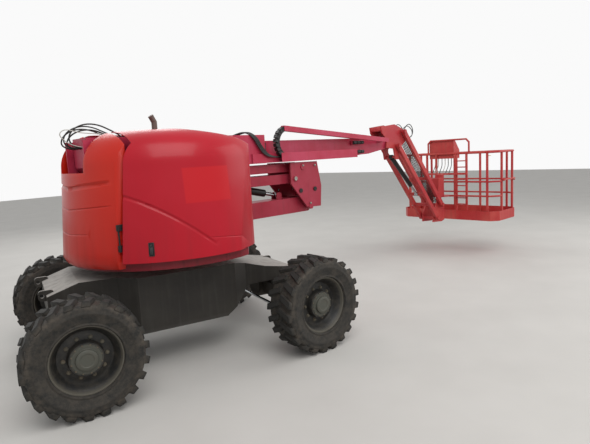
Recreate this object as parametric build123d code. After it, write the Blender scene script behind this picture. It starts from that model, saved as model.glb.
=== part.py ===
from build123d import *
import os
from math import atan2, cos, degrees, hypot, radians, sin

# Boom lift with two folding arms, a telescopic boom, a jib and a rotating basket.
# Millimetres. While it is drawn, the origin is on the slew axis at the ground,
# +X runs along the boom, +Y to its left and +Z up. The chassis is turned under the turret.

# Whole machine
TURRET_TURN = 13.9
GAP = 5
FIT = 0.05

# Wheels
WHEEL_RADIUS = 450
WHEEL_BASE = 2000
TRACK = 1960
TYRE_WIDTH = 330
LUG_DEPTH = 34
LUG_COUNT = 22
LUG_WIDTH = 58
LUG_SKEW = 60
LUG_ROW_GAP = 12
LUG_SETBACK = 6
LUG_ROOT = 52
CROWN_SHARE = 0.86
TYRE_SHOULDER = 60
RIM_RADIUS = 262
RIM_WALL = 12
BEAD_SHARE = 0.78
BEAD_FLANK = 55
HUB_RADIUS = 128
HUB_CAP_RADIUS = 76
HUB_BACK = 40
HUB_SHOULDER = 26
DISH_DEPTH = 95
DISH_TAPER = 60
BACK_TAPER = 46
DISC_PLATE = 14
SPINDLE_RADIUS = 40
SPINDLE_LENGTH = 55
SEAT_GAP = 0.3

# Axles and steering
KINGPIN_Y = 735
KINGPIN_RADIUS = 28
AXLE_TUBE_RADIUS = 70
AXLE_WAIST_Y = 200
AXLE_SEAT_Y = 330
AXLE_BULB_RADIUS = 125
YOKE_HEIGHT = 100
YOKE_PLATE = 26
YOKE_HALF = 55
STEER_ARM = 190
STEER_NOW = 9.5
TIE_ROD_RADIUS = 14
TIE_ROD_DROP = 45
TIE_PIN_RADIUS = 12
STEER_ARM_DEPTH = 24
YOKE_REACH = 82
KNUCKLE_RADIUS = 52
HUB_DRUM_RADIUS = 105
HUB_DRUM_LENGTH = 90
DRUM_FLATS = 16
NECK_RADIUS = 62

# Chassis frame
FRAME_END_X = 1180
FRAME_TOP = 860
FRAME_FLOOR = 360
FRAME_OVER_AXLE = WHEEL_RADIUS + AXLE_BULB_RADIUS + 10
FRAME_END_HALF = 400
FRAME_MID_HALF = 550
FRAME_WALL = 14
TIE_PLATE = 25
TIE_HOLE = 17
TIE_LUG_Y = 300
TIE_REACH = 62

# Slew ring and turntable
RING_RADIUS = 390
RING_TOP = 950
DECK_TOP = 1000
DECK_PLATE = 15
DECK_INSET = 60
SKIRT_BOTTOM = 975
SKIRT_TOP = 1040
SKIRT_WALL = 12

# Round covers: domed about the slew axis, cut by a sloped nose and a slot for the boom
TAIL_RADIUS = 990
SHOULDER_START = 1830
SHOULDER_SIDE = 925
SHOULDER = 300
SHOULDER_BANDS = 4
COVER_FLATS = 36
COVER_BOTTOM = 1050
COVER_WALL = 8
SLOT_HALF = 250
NOSE_X = 700
NOSE_CORNER_Y = 450
NOSE_SIDE_X = 177
CUT_REACH = TAIL_RADIUS + 110
NOSE_TOP = [(-300, 2140), (120, 2068), (330, 2028), (500, 1945), (630, 1810), (NOSE_X + 20, 1640)]
SPLIT_CAST_X = -660
SPLIT_CAST_Y = -560
SPLIT_DOOR_X = -620
SPLIT_DOOR_Y = -595
CAST_CENTRE_TOP = 1795
CAST_WALL_X = -885
CAST_FOOT_INSET = 80
HINGE_X = -793
HINGE_Y = -586
HINGE_Z = 1260
HINGE_RADIUS = 12
HINGE_PIN_RADIUS = 7
HINGE_HALF = 110
HINGE_LEAF_HALF = 60
NOTCH_REAR_X = -300
NOTCH_FRONT_X = -165
NOTCH_Y = -335

# Engine and exhaust
ENGINE_SIZE = (550, 425, 440)
ENGINE_PLACE = (-225, -488)
EXHAUST_RADIUS = 25
EXHAUST_PLACE = (-230, -287)
EXHAUST_TOP = 2210

# Folding arms: pivots as (x, z)
LOWER_ARM_REAR = (-620, 1225)
LOWER_ARM_FRONT = (1810, 1225)
LOWER_LINK_STEP = (-150, 70)
UPPER_ARM_FRONT = (1570, 1575)
UPPER_ARM_REAR = (-660, 1575)
UPPER_LINK_STEP = (130, 130)
ARM_HALF_WIDTH = 120
ARM_WALL = 8
LOWER_ARM_BOTTOM = 1160
LOWER_ARM_TOP = 1340
UPPER_ARM_BOTTOM = 1520
UPPER_ARM_TOP = 1630
LINK_RADIUS = 28
LOWER_LINK_Y = 152
LINK_THICKNESS = 30
UPPER_LINK_Y = 95
UPPER_LINK_RADIUS = 48
PLATE_Y = 185
PLATE_THICKNESS = 20
PIN_RADIUS = 25
LINK_PIN_RADIUS = 20
LINK_PIN_END = 18
PIN_HEAD = 8

# Boom
BOOM_PIVOT = (-700, 1950)
OUTER_REAR = -800
OUTER_FRONT = 1180
OUTER_BOTTOM = 1775
OUTER_TOP = 2090
OUTER_HALF = 150
OUTER_WALL = 8
INNER_REAR = -560
INNER_BOTTOM = 1800
INNER_TOP = 2025
INNER_HALF = 112
INNER_WALL = 6
INNER_BEAM_END = 2900
HEAD_HALF = 75
HEAD_PIVOT = (3600, 1930)
PAD_LENGTH = 90
TRAY_START = 1345
TRAY_END = 2700
TRAY_BOTTOM = 1777
TRAY_TOP = 1882
TRAY_Y = -200
TRAY_WIDTH = 80
TRAY_SHEET = 5
TRAY_ARM = 200
GUIDE_BAR_REAR = (1420, 2157)
GUIDE_BAR_FRONT = (3370, 1990)
GUIDE_BAR_DEPTH = 60
GUIDE_BAR_WIDTH = 60
CHAIN_THICKNESS = 60

# Jib
JIB_LENGTH = 1620
JIB_ANGLE = -48.65
JIB_LOWER_TOP = (3780, 1900)
JIB_UPPER_STEP = (150, 205)
JIB_BAR_Y = 150
JIB_BAR_WIDTH = 40
JIB_BAR_DEPTH = 70
BRACKET_Y = 97
BRACKET_PLATE = 20
JIB_CYLINDER_BASE = (3800, 1740)
JIB_CYLINDER_REACH = 1050
ARM_TIE = 1290
LINK_TIE = 1000
ROD_START = 120
JIB_ROD_START = 215

# Cylinders
BARREL_RADIUS = 42
ROD_RADIUS = 22
BOOM_CYL_FOOT = (-440, 1692)
BOOM_CYL_EYE = (750, 1724)
ARM_CYL_FOOT = (560, 1575)
ARM_CYL_EYE = (1440, 1385)
EYE_HALF = 28
BOOM_EYE_HALF = 42
SEAT_PLATE = 14
CYL_PIN = 18

# Basket
BASKET_NEAR = 5406
BASKET_FAR = 6206
BASKET_HALF = 900
BASKET_BOTTOM = 591
BASKET_TOP = 1741
TOE_HEIGHT = 160
TOE_PLATE = 4
FLOOR_PLATE = 5
CORNER_CUT = 110
RAIL_RADIUS = 18
MID_RAIL_RADIUS = 14
POST_HALF = 15
POST_PAD = 6
ANCHOR_HOLE = 14
ANCHOR_Z = 1660
ANCHOR_PLATE = 8
ANCHOR_Y = 735
ANCHOR_REACH = 75
ANCHOR_HALF = 28
ANCHOR_HOLE_X = 50
HOOP_LEFT = 345
HOOP_RIGHT = -417
HOOP_TOP = 1958
HOOP_BEND = 50
TUBE_SIDES = 8
MID_RAIL_Z = 1240
LOW_RAIL_Z = 1000
ROTATOR_X = 5190
ROTATOR_RADIUS = 75
ROTATOR_BOTTOM = 1010
ROTATOR_TOP = 1370
FLANGE_PLATE = 15
SHAFT_RADIUS = 38
YOKE_TUBE = 30
GATE_START = 5640
GATE_END = 6050
GATE_Z = 1260
GATE_RADIUS = 12


def plate(outline, y_low, y_high):
    """Flat plate whose outline is in (x, z), standing between two y values."""
    face = make_face(Polyline(*outline, close=True))
    side = Plane((0, y_high, 0), x_dir=(1, 0, 0), z_dir=(0, -1, 0))
    return extrude(side * face, y_high - y_low, dir=(0, -1, 0))


def soft_plate(outline, radius, y_low, y_high):
    """Flat plate with rounded corners."""
    wire = Polyline(*outline, close=True)
    face = fillet(make_face(wire).vertices(), radius)
    side = Plane((0, y_high, 0), x_dir=(1, 0, 0), z_dir=(0, -1, 0))
    return extrude(side * face, y_high - y_low, dir=(0, -1, 0))


def cross_pin(place, radius, y_low, y_high):
    """Cylinder across the machine at (x, z)."""
    middle = Pos(place[0], (y_low + y_high) / 2, place[1])
    return middle * Rot(90, 0, 0) * Cylinder(radius, y_high - y_low)


def hex_head(place, radius, y_low, y_high):
    """Six-sided head across the machine at (x, z)."""
    middle = Pos(place[0], (y_low + y_high) / 2, place[1])
    return middle * Rot(90, 0, 0) * extrude(RegularPolygon(radius, 6), (y_high - y_low) / 2, both=True)


def upright(x, y, radius, z_low, z_high):
    """Vertical cylinder."""
    return Pos(x, y, (z_low + z_high) / 2) * Cylinder(radius, z_high - z_low)


def block(x_low, x_high, y_low, y_high, z_low, z_high):
    """Box between two corners."""
    centre = Pos((x_low + x_high) / 2, (y_low + y_high) / 2, (z_low + z_high) / 2)
    return centre * Box(x_high - x_low, y_high - y_low, z_high - z_low)


def rod(start, end, radius):
    """Round rod between two points."""
    run = Vector(*end) - Vector(*start)
    return Plane(origin=start, z_dir=run) * extrude(Circle(radius), run.length)


def tube_run(points, radius, closed):
    """Tube along straight runs with mitred corners, its round drawn as a few flats."""
    path = Polyline(*points, close=closed)
    start = Vector(*points[0])
    first = Vector(*points[1]) - start
    middle = start + first * 0.5
    if closed:
        path = Polyline(middle, *points[1:], points[0], close=True)
        start = middle
    across = (0, 0, 1) if hypot(first.X, first.Y) > 1 else (1, 0, 0)
    section = Rot(0, 0, 180 / TUBE_SIDES) * flats(radius, TUBE_SIDES)
    return sweep(Plane(origin=start, x_dir=across, z_dir=first) * section, path, transition=Transition.RIGHT)


def link_bar(start, end, depth_radius, y_low, y_high):
    """Bar with round ends between two (x, z) pivots."""
    run = hypot(end[0] - start[0], end[1] - start[1])
    turn = degrees(atan2(end[1] - start[1], end[0] - start[0]))
    side = Plane((start[0], y_high, start[1]), x_dir=(1, 0, 0), z_dir=(0, -1, 0))
    outline = side * Rot(0, 0, turn) * Pos(run / 2, 0) * SlotCenterToCenter(run, 2 * depth_radius)
    return extrude(outline, y_high - y_low, dir=(0, -1, 0))


def step_from(place, step):
    return (place[0] + step[0], place[1] + step[1])


def along(place, angle, distance):
    return (place[0] + distance * cos(radians(angle)), place[1] + distance * sin(radians(angle)))


def mirrored(shape):
    return mirror(shape, Plane.XZ)


def on_chassis(shape):
    """Turn a chassis piece under the turret."""
    return Rot(0, 0, -TURRET_TURN) * shape


def flats(radius, sides):
    """Many-sided face whose flats lie at this radius."""
    return RegularPolygon(radius, sides, major_radius=False)


def flat_band(start_radius, end_radius, length, sides):
    """Band of plane flats along +z, drawn from its wider end."""
    wide = max(start_radius, end_radius)
    taper = degrees(atan2(abs(start_radius - end_radius), length))
    band = extrude(flats(wide, sides), length, taper=taper)
    if end_radius > start_radius:
        return Pos(0, 0, length) * mirror(band, Plane.XY)
    return band


def flat_stack(stations, sides):
    """Round body about the z axis, its round drawn as flats, from (radius, z) stations."""
    stack = None
    for (start_radius, start_z), (end_radius, end_z) in zip(stations, stations[1:]):
        band = Pos(0, 0, start_z) * flat_band(start_radius, end_radius, end_z - start_z, sides)
        stack = band if stack is None else stack + band
    return stack


def flat_ring(stations, sides):
    """The same about the y axis, from (radius, y) stations."""
    return Rot(-90, 0, 0) * flat_stack(stations, sides)


def tyre():
    """Tyre about the y axis, outer side towards -y, with two rows of skewed lugs."""
    carcass = WHEEL_RADIUS - LUG_DEPTH
    half = TYRE_WIDTH / 2
    bead = half * BEAD_SHARE
    side = RIM_RADIUS + BEAD_FLANK
    crown = half * CROWN_SHARE
    shoulder = carcass - TYRE_SHOULDER
    body = flat_ring([(shoulder, -half), (carcass, -crown), (carcass, crown), (shoulder, half)], LUG_COUNT)
    flank = flat_ring([(RIM_RADIUS, bead), (side, half)], LUG_COUNT)
    body -= flank + mirrored(flank)
    body -= flat_ring([(RIM_RADIUS, -half), (RIM_RADIUS, half)], LUG_COUNT)
    pitch = 360 / LUG_COUNT
    swing = LUG_SKEW / 2
    lug_half = LUG_WIDTH / 2
    lug_outline = [
        (-lug_half - swing, LUG_ROW_GAP),
        (lug_half - swing, LUG_ROW_GAP),
        (lug_half + swing, half - LUG_SETBACK),
        (-lug_half + swing, half - LUG_SETBACK),
    ]
    lug_face = make_face(Polyline(*lug_outline, close=True))
    seat = carcass - LUG_ROOT
    lug_top = (WHEEL_RADIUS**2 - (lug_half + swing)**2)**0.5
    one_lug = extrude(Plane((0, 0, seat)) * lug_face, lug_top - seat)
    other_lug = Rot(0, pitch / 2, 0) * mirrored(one_lug)
    lugs = [Rot(0, pitch * turn, 0) * lug for turn in range(LUG_COUNT) for lug in (one_lug, other_lug)]
    return body.fuse(*lugs)


def rim():
    """Deep dished rim with its hub and cap, outer side towards -y."""
    half = TYRE_WIDTH / 2 * BEAD_SHARE
    disc = -half + DISH_DEPTH
    lip = RIM_RADIUS - RIM_WALL
    wheel = flat_ring([(RIM_RADIUS, -half), (RIM_RADIUS, half)], LUG_COUNT)
    wheel -= flat_ring([(lip, -half), (RIM_RADIUS - DISH_TAPER, disc)], LUG_COUNT)
    wheel -= flat_ring([(RIM_RADIUS - BACK_TAPER, disc + DISC_PLATE), (lip, half)], LUG_COUNT)
    hub = [(HUB_CAP_RADIUS, -half - 2), (HUB_RADIUS, HUB_SHOULDER - half), (HUB_RADIUS, HUB_BACK)]
    wheel += flat_ring(hub, LUG_COUNT)
    bore = Pos(0, HUB_BACK - (SPINDLE_LENGTH + GAP) / 2, 0) * Rot(90, 0, 0)
    return wheel - bore * Cylinder(SPINDLE_RADIUS + FIT, SPINDLE_LENGTH + GAP)


def wheel_places():
    """Name, x, side and steer angle of each wheel."""
    return [
        ("front_left", WHEEL_BASE / 2, 1, STEER_NOW),
        ("front_right", WHEEL_BASE / 2, -1, STEER_NOW),
        ("rear_left", -WHEEL_BASE / 2, 1, 0),
        ("rear_right", -WHEEL_BASE / 2, -1, 0),
    ]


def steered(shape, x, side, angle):
    """Turn a piece, drawn straight ahead at its kingpin, by its steer angle."""
    return Pos(x, side * KINGPIN_Y, WHEEL_RADIUS) * Rot(0, 0, angle) * shape


def wheels():
    pieces = {}
    tyre_shape = tyre()
    rim_shape = rim()
    reach = TRACK / 2 - KINGPIN_Y
    for name, x, side, angle in wheel_places():
        turn = Rot(0, 0, 180) if side > 0 else Rot(0, 0, 0)
        place = Pos(0, side * reach, 0) * turn
        pieces["tyre_" + name] = on_chassis(steered(place * tyre_shape, x, side, angle))
        pieces["rim_" + name] = on_chassis(steered(place * rim_shape, x, side, angle))
    return pieces


def axle_beam(x, end_y):
    """Welded box beam, tapered to its ends, with a round drive housing in the middle."""
    tip = AXLE_TUBE_RADIUS * 0.85
    outline = [(-end_y, -tip), (-AXLE_WAIST_Y, -AXLE_TUBE_RADIUS), (AXLE_WAIST_Y, -AXLE_TUBE_RADIUS),
               (end_y, -tip), (end_y, tip), (AXLE_WAIST_Y, AXLE_TUBE_RADIUS),
               (-AXLE_WAIST_Y, AXLE_TUBE_RADIUS), (-end_y, tip)]
    face = Plane.YZ * make_face(Polyline(*outline, close=True))
    beam = extrude(face, AXLE_TUBE_RADIUS, both=True)
    beam += Rot(0, 90, 0) * Cylinder(AXLE_BULB_RADIUS, 2 * AXLE_BULB_RADIUS)
    beam = Pos(x, 0, WHEEL_RADIUS) * beam
    for side in (-1, 1):
        seat = side * AXLE_SEAT_Y
        beam += block(x - 60, x + 60, seat - 45, seat + 45, WHEEL_RADIUS, FRAME_OVER_AXLE)
    return beam


def hub_end():
    """Distance from the middle to the hub's inner face."""
    return TRACK / 2 - HUB_BACK


def wheel_carrier(start_y, drum_start):
    """Hub drum and spindle along +y, drawn on the machine's middle line."""
    face = hub_end() - SEAT_GAP
    carrier = flat_ring([(NECK_RADIUS, start_y), (NECK_RADIUS, drum_start)], DRUM_FLATS)
    carrier += flat_ring([(HUB_DRUM_RADIUS, drum_start), (HUB_DRUM_RADIUS, face)], DRUM_FLATS)
    middle = Pos(0, face + SPINDLE_LENGTH / 2 - 1, 0) * Rot(90, 0, 0)
    return carrier + middle * Cylinder(SPINDLE_RADIUS, SPINDLE_LENGTH + 2)


def axles():
    x = WHEEL_BASE / 2
    front = axle_beam(x, KINGPIN_Y - YOKE_REACH)
    for side in (-1, 1):
        neck = side * (KINGPIN_Y - YOKE_REACH)
        front += block(x - YOKE_HALF, x + YOKE_HALF, neck - 16, neck + 16,
                       WHEEL_RADIUS - YOKE_HEIGHT, WHEEL_RADIUS + YOKE_HEIGHT)
        for level in (-1, 1):
            z_mid = WHEEL_RADIUS + level * (YOKE_HEIGHT - YOKE_PLATE / 2)
            ear = block(x - YOKE_HALF, x + YOKE_HALF, min(neck, side * KINGPIN_Y), max(neck, side * KINGPIN_Y),
                        z_mid - YOKE_PLATE / 2, z_mid + YOKE_PLATE / 2)
            ear += Pos(x, side * KINGPIN_Y, z_mid) * Cylinder(YOKE_HALF, YOKE_PLATE)
            front += ear
        front += upright(x, side * KINGPIN_Y, KINGPIN_RADIUS,
                         WHEEL_RADIUS - YOKE_HEIGHT - PIN_HEAD, WHEEL_RADIUS + YOKE_HEIGHT + PIN_HEAD)
    drum_start = hub_end() - HUB_DRUM_LENGTH
    rear = axle_beam(-x, drum_start)
    carrier = wheel_carrier(drum_start - 40, drum_start)
    for carrier_side in (carrier, mirrored(carrier)):
        rear += Pos(-x, 0, WHEEL_RADIUS) * carrier_side
    return front, rear


def knuckle(side):
    """Steering knuckle drawn at its kingpin, straight ahead, wheel towards side."""
    half_height = YOKE_HEIGHT - YOKE_PLATE - GAP
    barrel = Cylinder(KNUCKLE_RADIUS, 2 * half_height)
    carrier = Pos(0, -KINGPIN_Y, 0) * wheel_carrier(KINGPIN_Y, hub_end() - HUB_DRUM_LENGTH)
    barrel += carrier if side > 0 else mirrored(carrier)
    level = -TIE_ROD_DROP
    barrel += block(-STEER_ARM, -30, -20, 20, level - STEER_ARM_DEPTH / 2, level + STEER_ARM_DEPTH / 2)
    barrel += Pos(-STEER_ARM, 0, level) * Cylinder(24, STEER_ARM_DEPTH)
    barrel -= Pos(-STEER_ARM, 0, level) * Cylinder(TIE_PIN_RADIUS + FIT, STEER_ARM_DEPTH)
    return barrel - Cylinder(KINGPIN_RADIUS + FIT, 2 * half_height)


def steering():
    x = WHEEL_BASE / 2
    left = on_chassis(steered(knuckle(1), x, 1, STEER_NOW))
    right = on_chassis(steered(knuckle(-1), x, -1, STEER_NOW))
    eye_x = x - STEER_ARM * cos(radians(STEER_NOW))
    eye_shift = -STEER_ARM * sin(radians(STEER_NOW))
    eye_top = WHEEL_RADIUS - TIE_ROD_DROP - STEER_ARM_DEPTH / 2 - SEAT_GAP
    z = eye_top - TIE_ROD_RADIUS
    bar = rod((eye_x, -KINGPIN_Y + eye_shift, z), (eye_x, KINGPIN_Y + eye_shift, z), TIE_ROD_RADIUS)
    for side in (-1, 1):
        y = side * KINGPIN_Y + eye_shift
        bar += upright(eye_x, y, 22, z - TIE_ROD_RADIUS - 4, eye_top)
        bar += upright(eye_x, y, TIE_PIN_RADIUS, z, eye_top + STEER_ARM_DEPTH + PIN_HEAD)
    return left, right, on_chassis(bar)


def frame_outline(inset):
    """Side outline of the chassis frame in (x, z)."""
    end = FRAME_END_X - inset
    floor = FRAME_FLOOR + inset
    over = FRAME_OVER_AXLE + inset
    top = FRAME_TOP - inset
    return [
        (-end, over), (-760, over), (-600, floor), (330, floor), (640, over), (end, over),
        (end, 680 - inset), (820, 745 - inset), (430, top), (-430, top + 5), (-930, top + 20),
        (-end, 800 - inset),
    ]


def frame_plan(inset):
    """Plan of the chassis frame in (x, y)."""
    end = FRAME_END_X - inset
    narrow = FRAME_END_HALF - inset
    wide = FRAME_MID_HALF - inset
    half = [(-end, narrow), (-620, narrow + 10), (-480, wide), (430, wide), (600, narrow + 10), (end, narrow)]
    return half + [(x, -y) for x, y in reversed(half)]


def frame_block(inset):
    sides = plate(frame_outline(inset), -FRAME_MID_HALF, FRAME_MID_HALF)
    plan = extrude(make_face(Polyline(*frame_plan(inset), close=True)), FRAME_TOP + 100)
    return sides & plan


def chassis_frame():
    outer = frame_block(0)
    hollow = frame_block(FRAME_WALL) & block(-560, 320, -FRAME_MID_HALF, FRAME_MID_HALF, 0, FRAME_TOP)
    hollow += block(-540, 300, -FRAME_END_HALF, FRAME_END_HALF, 0, FRAME_FLOOR + 2 * FRAME_WALL)
    wide = FRAME_MID_HALF
    front_hollow = frame_block(FRAME_WALL) & block(340, FRAME_END_X, -wide, wide, 0, FRAME_TOP)
    rear_hollow = frame_block(FRAME_WALL) & block(-FRAME_END_X, -580, -wide, wide, 0, FRAME_TOP)
    frame = outer - hollow - front_hollow - rear_hollow
    lug_outline = [(0, 0), (TIE_REACH + 60, 0), (TIE_REACH + 60, 90), (0, 90)]
    for end, foot, way in ((-FRAME_END_X, 750, 1), (FRAME_END_X, 600, -1)):
        tip = end - way * TIE_REACH
        outline = [(tip + way * px, foot + pz) for px, pz in lug_outline]
        for y in (-TIE_LUG_Y, TIE_LUG_Y):
            lug = soft_plate(outline, 30, y - TIE_PLATE / 2, y + TIE_PLATE / 2)
            frame += lug - cross_pin((tip + way * 31, foot + 45), TIE_HOLE, y - TIE_PLATE, y + TIE_PLATE)
    return frame


def slew_ring():
    return upright(0, 0, RING_RADIUS, FRAME_TOP + 5, RING_TOP)


def cover_dome(inset, bottom):
    """Domed body about the slew axis with straight, slightly tapered sides."""
    side = SHOULDER_SIDE - inset
    slope = (TAIL_RADIUS - SHOULDER_SIDE) / (SHOULDER_START - COVER_BOTTOM)
    stations = [(side + slope * (SHOULDER_START - bottom), bottom)]
    reach = SHOULDER - inset
    for step in range(SHOULDER_BANDS + 1):
        turn = radians(90 * step / SHOULDER_BANDS)
        stations.append((SHOULDER_SIDE - SHOULDER + reach * cos(turn), SHOULDER_START + reach * sin(turn)))
    return flat_stack(stations, COVER_FLATS)


def nose_plan(inset):
    """Plan polygon that cuts the fronts of the covers, across both sides."""
    half = [(-CUT_REACH, -CUT_REACH), (NOSE_SIDE_X, -CUT_REACH), (NOSE_X, -NOSE_CORNER_Y)]
    face = make_face(Polyline(*half, *[(x, -y) for x, y in reversed(half)], close=True))
    return offset(face, -inset, kind=Kind.INTERSECTION) if inset else face


def nose_side(inset, bottom):
    """Side outline of the covers in (x, z): flat above the engine, sloping down to the nose."""
    top = [(x, z - inset) for x, z in NOSE_TOP]
    tip_x = top[-1][0]
    return make_face(Polyline((-CUT_REACH, bottom), (-CUT_REACH, top[0][1]), *top, (tip_x, bottom), close=True))


def cover_body(inset, inner, bottom):
    """Everything under one side's cover out to its skin, on the right."""
    dome = cover_dome(inset, bottom)
    plan = extrude(nose_plan(inset), 2 * CUT_REACH)
    side_plane = Plane((0, 0, 0), x_dir=(1, 0, 0), z_dir=(0, -1, 0))
    side = extrude(side_plane * nose_side(inset, bottom), CUT_REACH, both=True)
    right = block(-CUT_REACH, CUT_REACH, -CUT_REACH, inner, bottom, 2 * CUT_REACH)
    return dome & plan & side & right


def hood():
    """Hollow right hood: everything in front of the split."""
    shell = cover_body(0, -SLOT_HALF, COVER_BOTTOM) - cover_body(COVER_WALL, 0, COVER_BOTTOM - 50)
    front = block(SPLIT_DOOR_X, CUT_REACH, -CUT_REACH, 0, 0, 2 * CUT_REACH)
    outer = block(-CUT_REACH, SPLIT_DOOR_X, -CUT_REACH, SPLIT_DOOR_Y, 0, 2 * CUT_REACH)
    return (shell & (front + outer)) + hinge_leaf()


def casting():
    """Rear casting across the tail, low in the middle where the boom's foot stands."""
    whole = cover_dome(0, COVER_BOTTOM) + cover_dome(CAST_FOOT_INSET, DECK_TOP)
    cast = whole & block(-CUT_REACH, SPLIT_CAST_X, SPLIT_CAST_Y, -SPLIT_CAST_Y, 0, 2 * CUT_REACH)
    cast -= block(-CUT_REACH, 0, -SLOT_HALF, SLOT_HALF, CAST_CENTRE_TOP, 2 * CUT_REACH)
    return cast - block(CAST_WALL_X, 0, -SLOT_HALF, SLOT_HALF, 0, 2 * CUT_REACH)


def hinges():
    """Hinge pin with its two end barrels on the right of the rear casting."""
    pin = upright(HINGE_X, HINGE_Y, HINGE_PIN_RADIUS, HINGE_Z - HINGE_HALF, HINGE_Z + HINGE_HALF)
    for level in (-1, 1):
        ends = (HINGE_Z + level * (HINGE_LEAF_HALF + SEAT_GAP), HINGE_Z + level * HINGE_HALF)
        pin += upright(HINGE_X, HINGE_Y, HINGE_RADIUS, min(ends), max(ends))
        pin += block(HINGE_X - 8, HINGE_X + 50, HINGE_Y + 6, SPLIT_CAST_Y, min(ends), max(ends))
    return pin


def hinge_leaf():
    """Middle hinge barrel with its leaf on the right hood's rear edge."""
    low, high = HINGE_Z - HINGE_LEAF_HALF, HINGE_Z + HINGE_LEAF_HALF
    leaf = upright(HINGE_X, HINGE_Y, HINGE_RADIUS, low, high)
    leaf += block(HINGE_X, HINGE_X + 40, HINGE_Y - 14, HINGE_Y, low, high)
    return leaf - upright(HINGE_X, HINGE_Y, HINGE_PIN_RADIUS + FIT, low - 1, high + 1)


def turntable():
    """Deck with its skirt, and the two mast plates that carry the arms."""
    plan = flats(TAIL_RADIUS - DECK_INSET, COVER_FLATS) & nose_plan(DECK_INSET)
    inside = flats(TAIL_RADIUS - DECK_INSET - SKIRT_WALL, COVER_FLATS) & nose_plan(DECK_INSET + SKIRT_WALL)
    deck = Pos(0, 0, DECK_TOP - DECK_PLATE) * extrude(plan, DECK_PLATE)
    deck += Pos(0, 0, SKIRT_BOTTOM) * extrude(plan - inside, SKIRT_TOP - SKIRT_BOTTOM)
    deck += upright(0, 0, RING_RADIUS - 40, RING_TOP, DECK_TOP)
    mast_outline = [(-870, DECK_TOP), (-400, DECK_TOP), (-520, 1250), (-560, 1330),
                    (-720, 1400), (-830, 1400), (-870, 1350)]
    for side in (-1, 1):
        low = min(side * PLATE_Y, side * (PLATE_Y + PLATE_THICKNESS))
        deck += plate(mast_outline, low, low + PLATE_THICKNESS)
    deck += block(-870, -850, -PLATE_Y, PLATE_Y, DECK_TOP, 1340)
    deck += cross_pin(LOWER_ARM_REAR, PIN_RADIUS, -PLATE_Y - 1, PLATE_Y + 1)
    link_place = step_from(LOWER_ARM_REAR, LOWER_LINK_STEP)
    deck += cross_pin(link_place, LINK_PIN_RADIUS, LOWER_LINK_Y - LINK_PIN_END, PLATE_Y + 1)
    return deck


def arm_beam(rear, front, bottom, top, depth):
    """Hollow box arm between two pivots, with a round eye at each end."""
    beam = soft_plate([(rear[0] - depth, bottom), (front[0] + depth, bottom),
                       (front[0] + depth, top), (rear[0] - depth, top)], 40, -ARM_HALF_WIDTH, ARM_HALF_WIDTH)
    inner_y = ARM_HALF_WIDTH - ARM_WALL
    hollow = block(rear[0] + 120, front[0] - 120, -inner_y, inner_y, bottom + ARM_WALL, top - ARM_WALL)
    beam -= hollow
    for place in (rear, front):
        beam -= cross_pin(place, PIN_RADIUS + FIT, -ARM_HALF_WIDTH - 1, ARM_HALF_WIDTH + 1)
    return beam


def ears(place, half_gap, thickness, radius, foot_z, width):
    """Two ears beside a cylinder's eye, standing on a face at foot_z."""
    pair = None
    for side in (-1, 1):
        low = min(side * half_gap, side * (half_gap + thickness))
        ear = cross_pin(place, radius, low, low + thickness)
        ear += block(place[0] - width, place[0] + width, low, low + thickness,
                     min(foot_z, place[1]), max(foot_z, place[1]))
        pair = ear if pair is None else pair + ear
    return pair


def lower_arm():
    arm = arm_beam(LOWER_ARM_REAR, LOWER_ARM_FRONT, LOWER_ARM_BOTTOM, LOWER_ARM_TOP, 65)
    arm += ears(ARM_CYL_EYE, EYE_HALF + GAP, 18, 38, LOWER_ARM_TOP, 38)
    return arm


def upper_arm():
    """Box arm, open below in its front half for the arm cylinder."""
    arm = arm_beam(UPPER_ARM_REAR, UPPER_ARM_FRONT, UPPER_ARM_BOTTOM, UPPER_ARM_TOP, 50)
    slot = block(ARM_CYL_FOOT[0] - 80, UPPER_ARM_FRONT[0] - 100, -60, 60,
                 UPPER_ARM_BOTTOM - 1, UPPER_ARM_TOP - ARM_WALL)
    pin_reach = ARM_HALF_WIDTH - ARM_WALL / 2
    return arm - slot + cross_pin(ARM_CYL_FOOT, CYL_PIN, -pin_reach, pin_reach)


def links():
    lower_rear = step_from(LOWER_ARM_REAR, LOWER_LINK_STEP)
    lower_front = step_from(LOWER_ARM_FRONT, LOWER_LINK_STEP)
    half = LINK_THICKNESS / 2
    lower = link_bar(lower_rear, lower_front, LINK_RADIUS, LOWER_LINK_Y - half, LOWER_LINK_Y + half)
    for place in (lower_rear, lower_front):
        lower -= cross_pin(place, LINK_PIN_RADIUS + FIT, LOWER_LINK_Y - 40, LOWER_LINK_Y + 40)
    upper_rear = step_from(UPPER_ARM_REAR, UPPER_LINK_STEP)
    upper_front = step_from(UPPER_ARM_FRONT, UPPER_LINK_STEP)
    upper = None
    for side in (-1, 1):
        y = side * UPPER_LINK_Y
        bar = link_bar(upper_rear, upper_front, UPPER_LINK_RADIUS, y - half, y + half)
        upper = bar if upper is None else upper + bar
    tie_x = (upper_rear[0] + upper_front[0]) / 2 + 500
    upper += block(tie_x - 40, tie_x + 40, -UPPER_LINK_Y, UPPER_LINK_Y,
                   upper_rear[1] - UPPER_LINK_RADIUS, upper_rear[1] - UPPER_LINK_RADIUS + 8)
    for place in (upper_rear, upper_front):
        upper -= cross_pin(place, PIN_RADIUS + FIT, -UPPER_LINK_Y - 40, UPPER_LINK_Y + 40)
    return lower, upper


def pin_with_heads(place, radius):
    """Pin through both outer plates, with a head on each."""
    reach = PLATE_Y + PLATE_THICKNESS
    pin = cross_pin(place, radius, -reach, reach)
    for side in (-1, 1):
        low = min(side * reach, side * (reach + PIN_HEAD))
        pin += hex_head(place, radius + 14, low, low + PIN_HEAD)
    return pin


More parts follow.
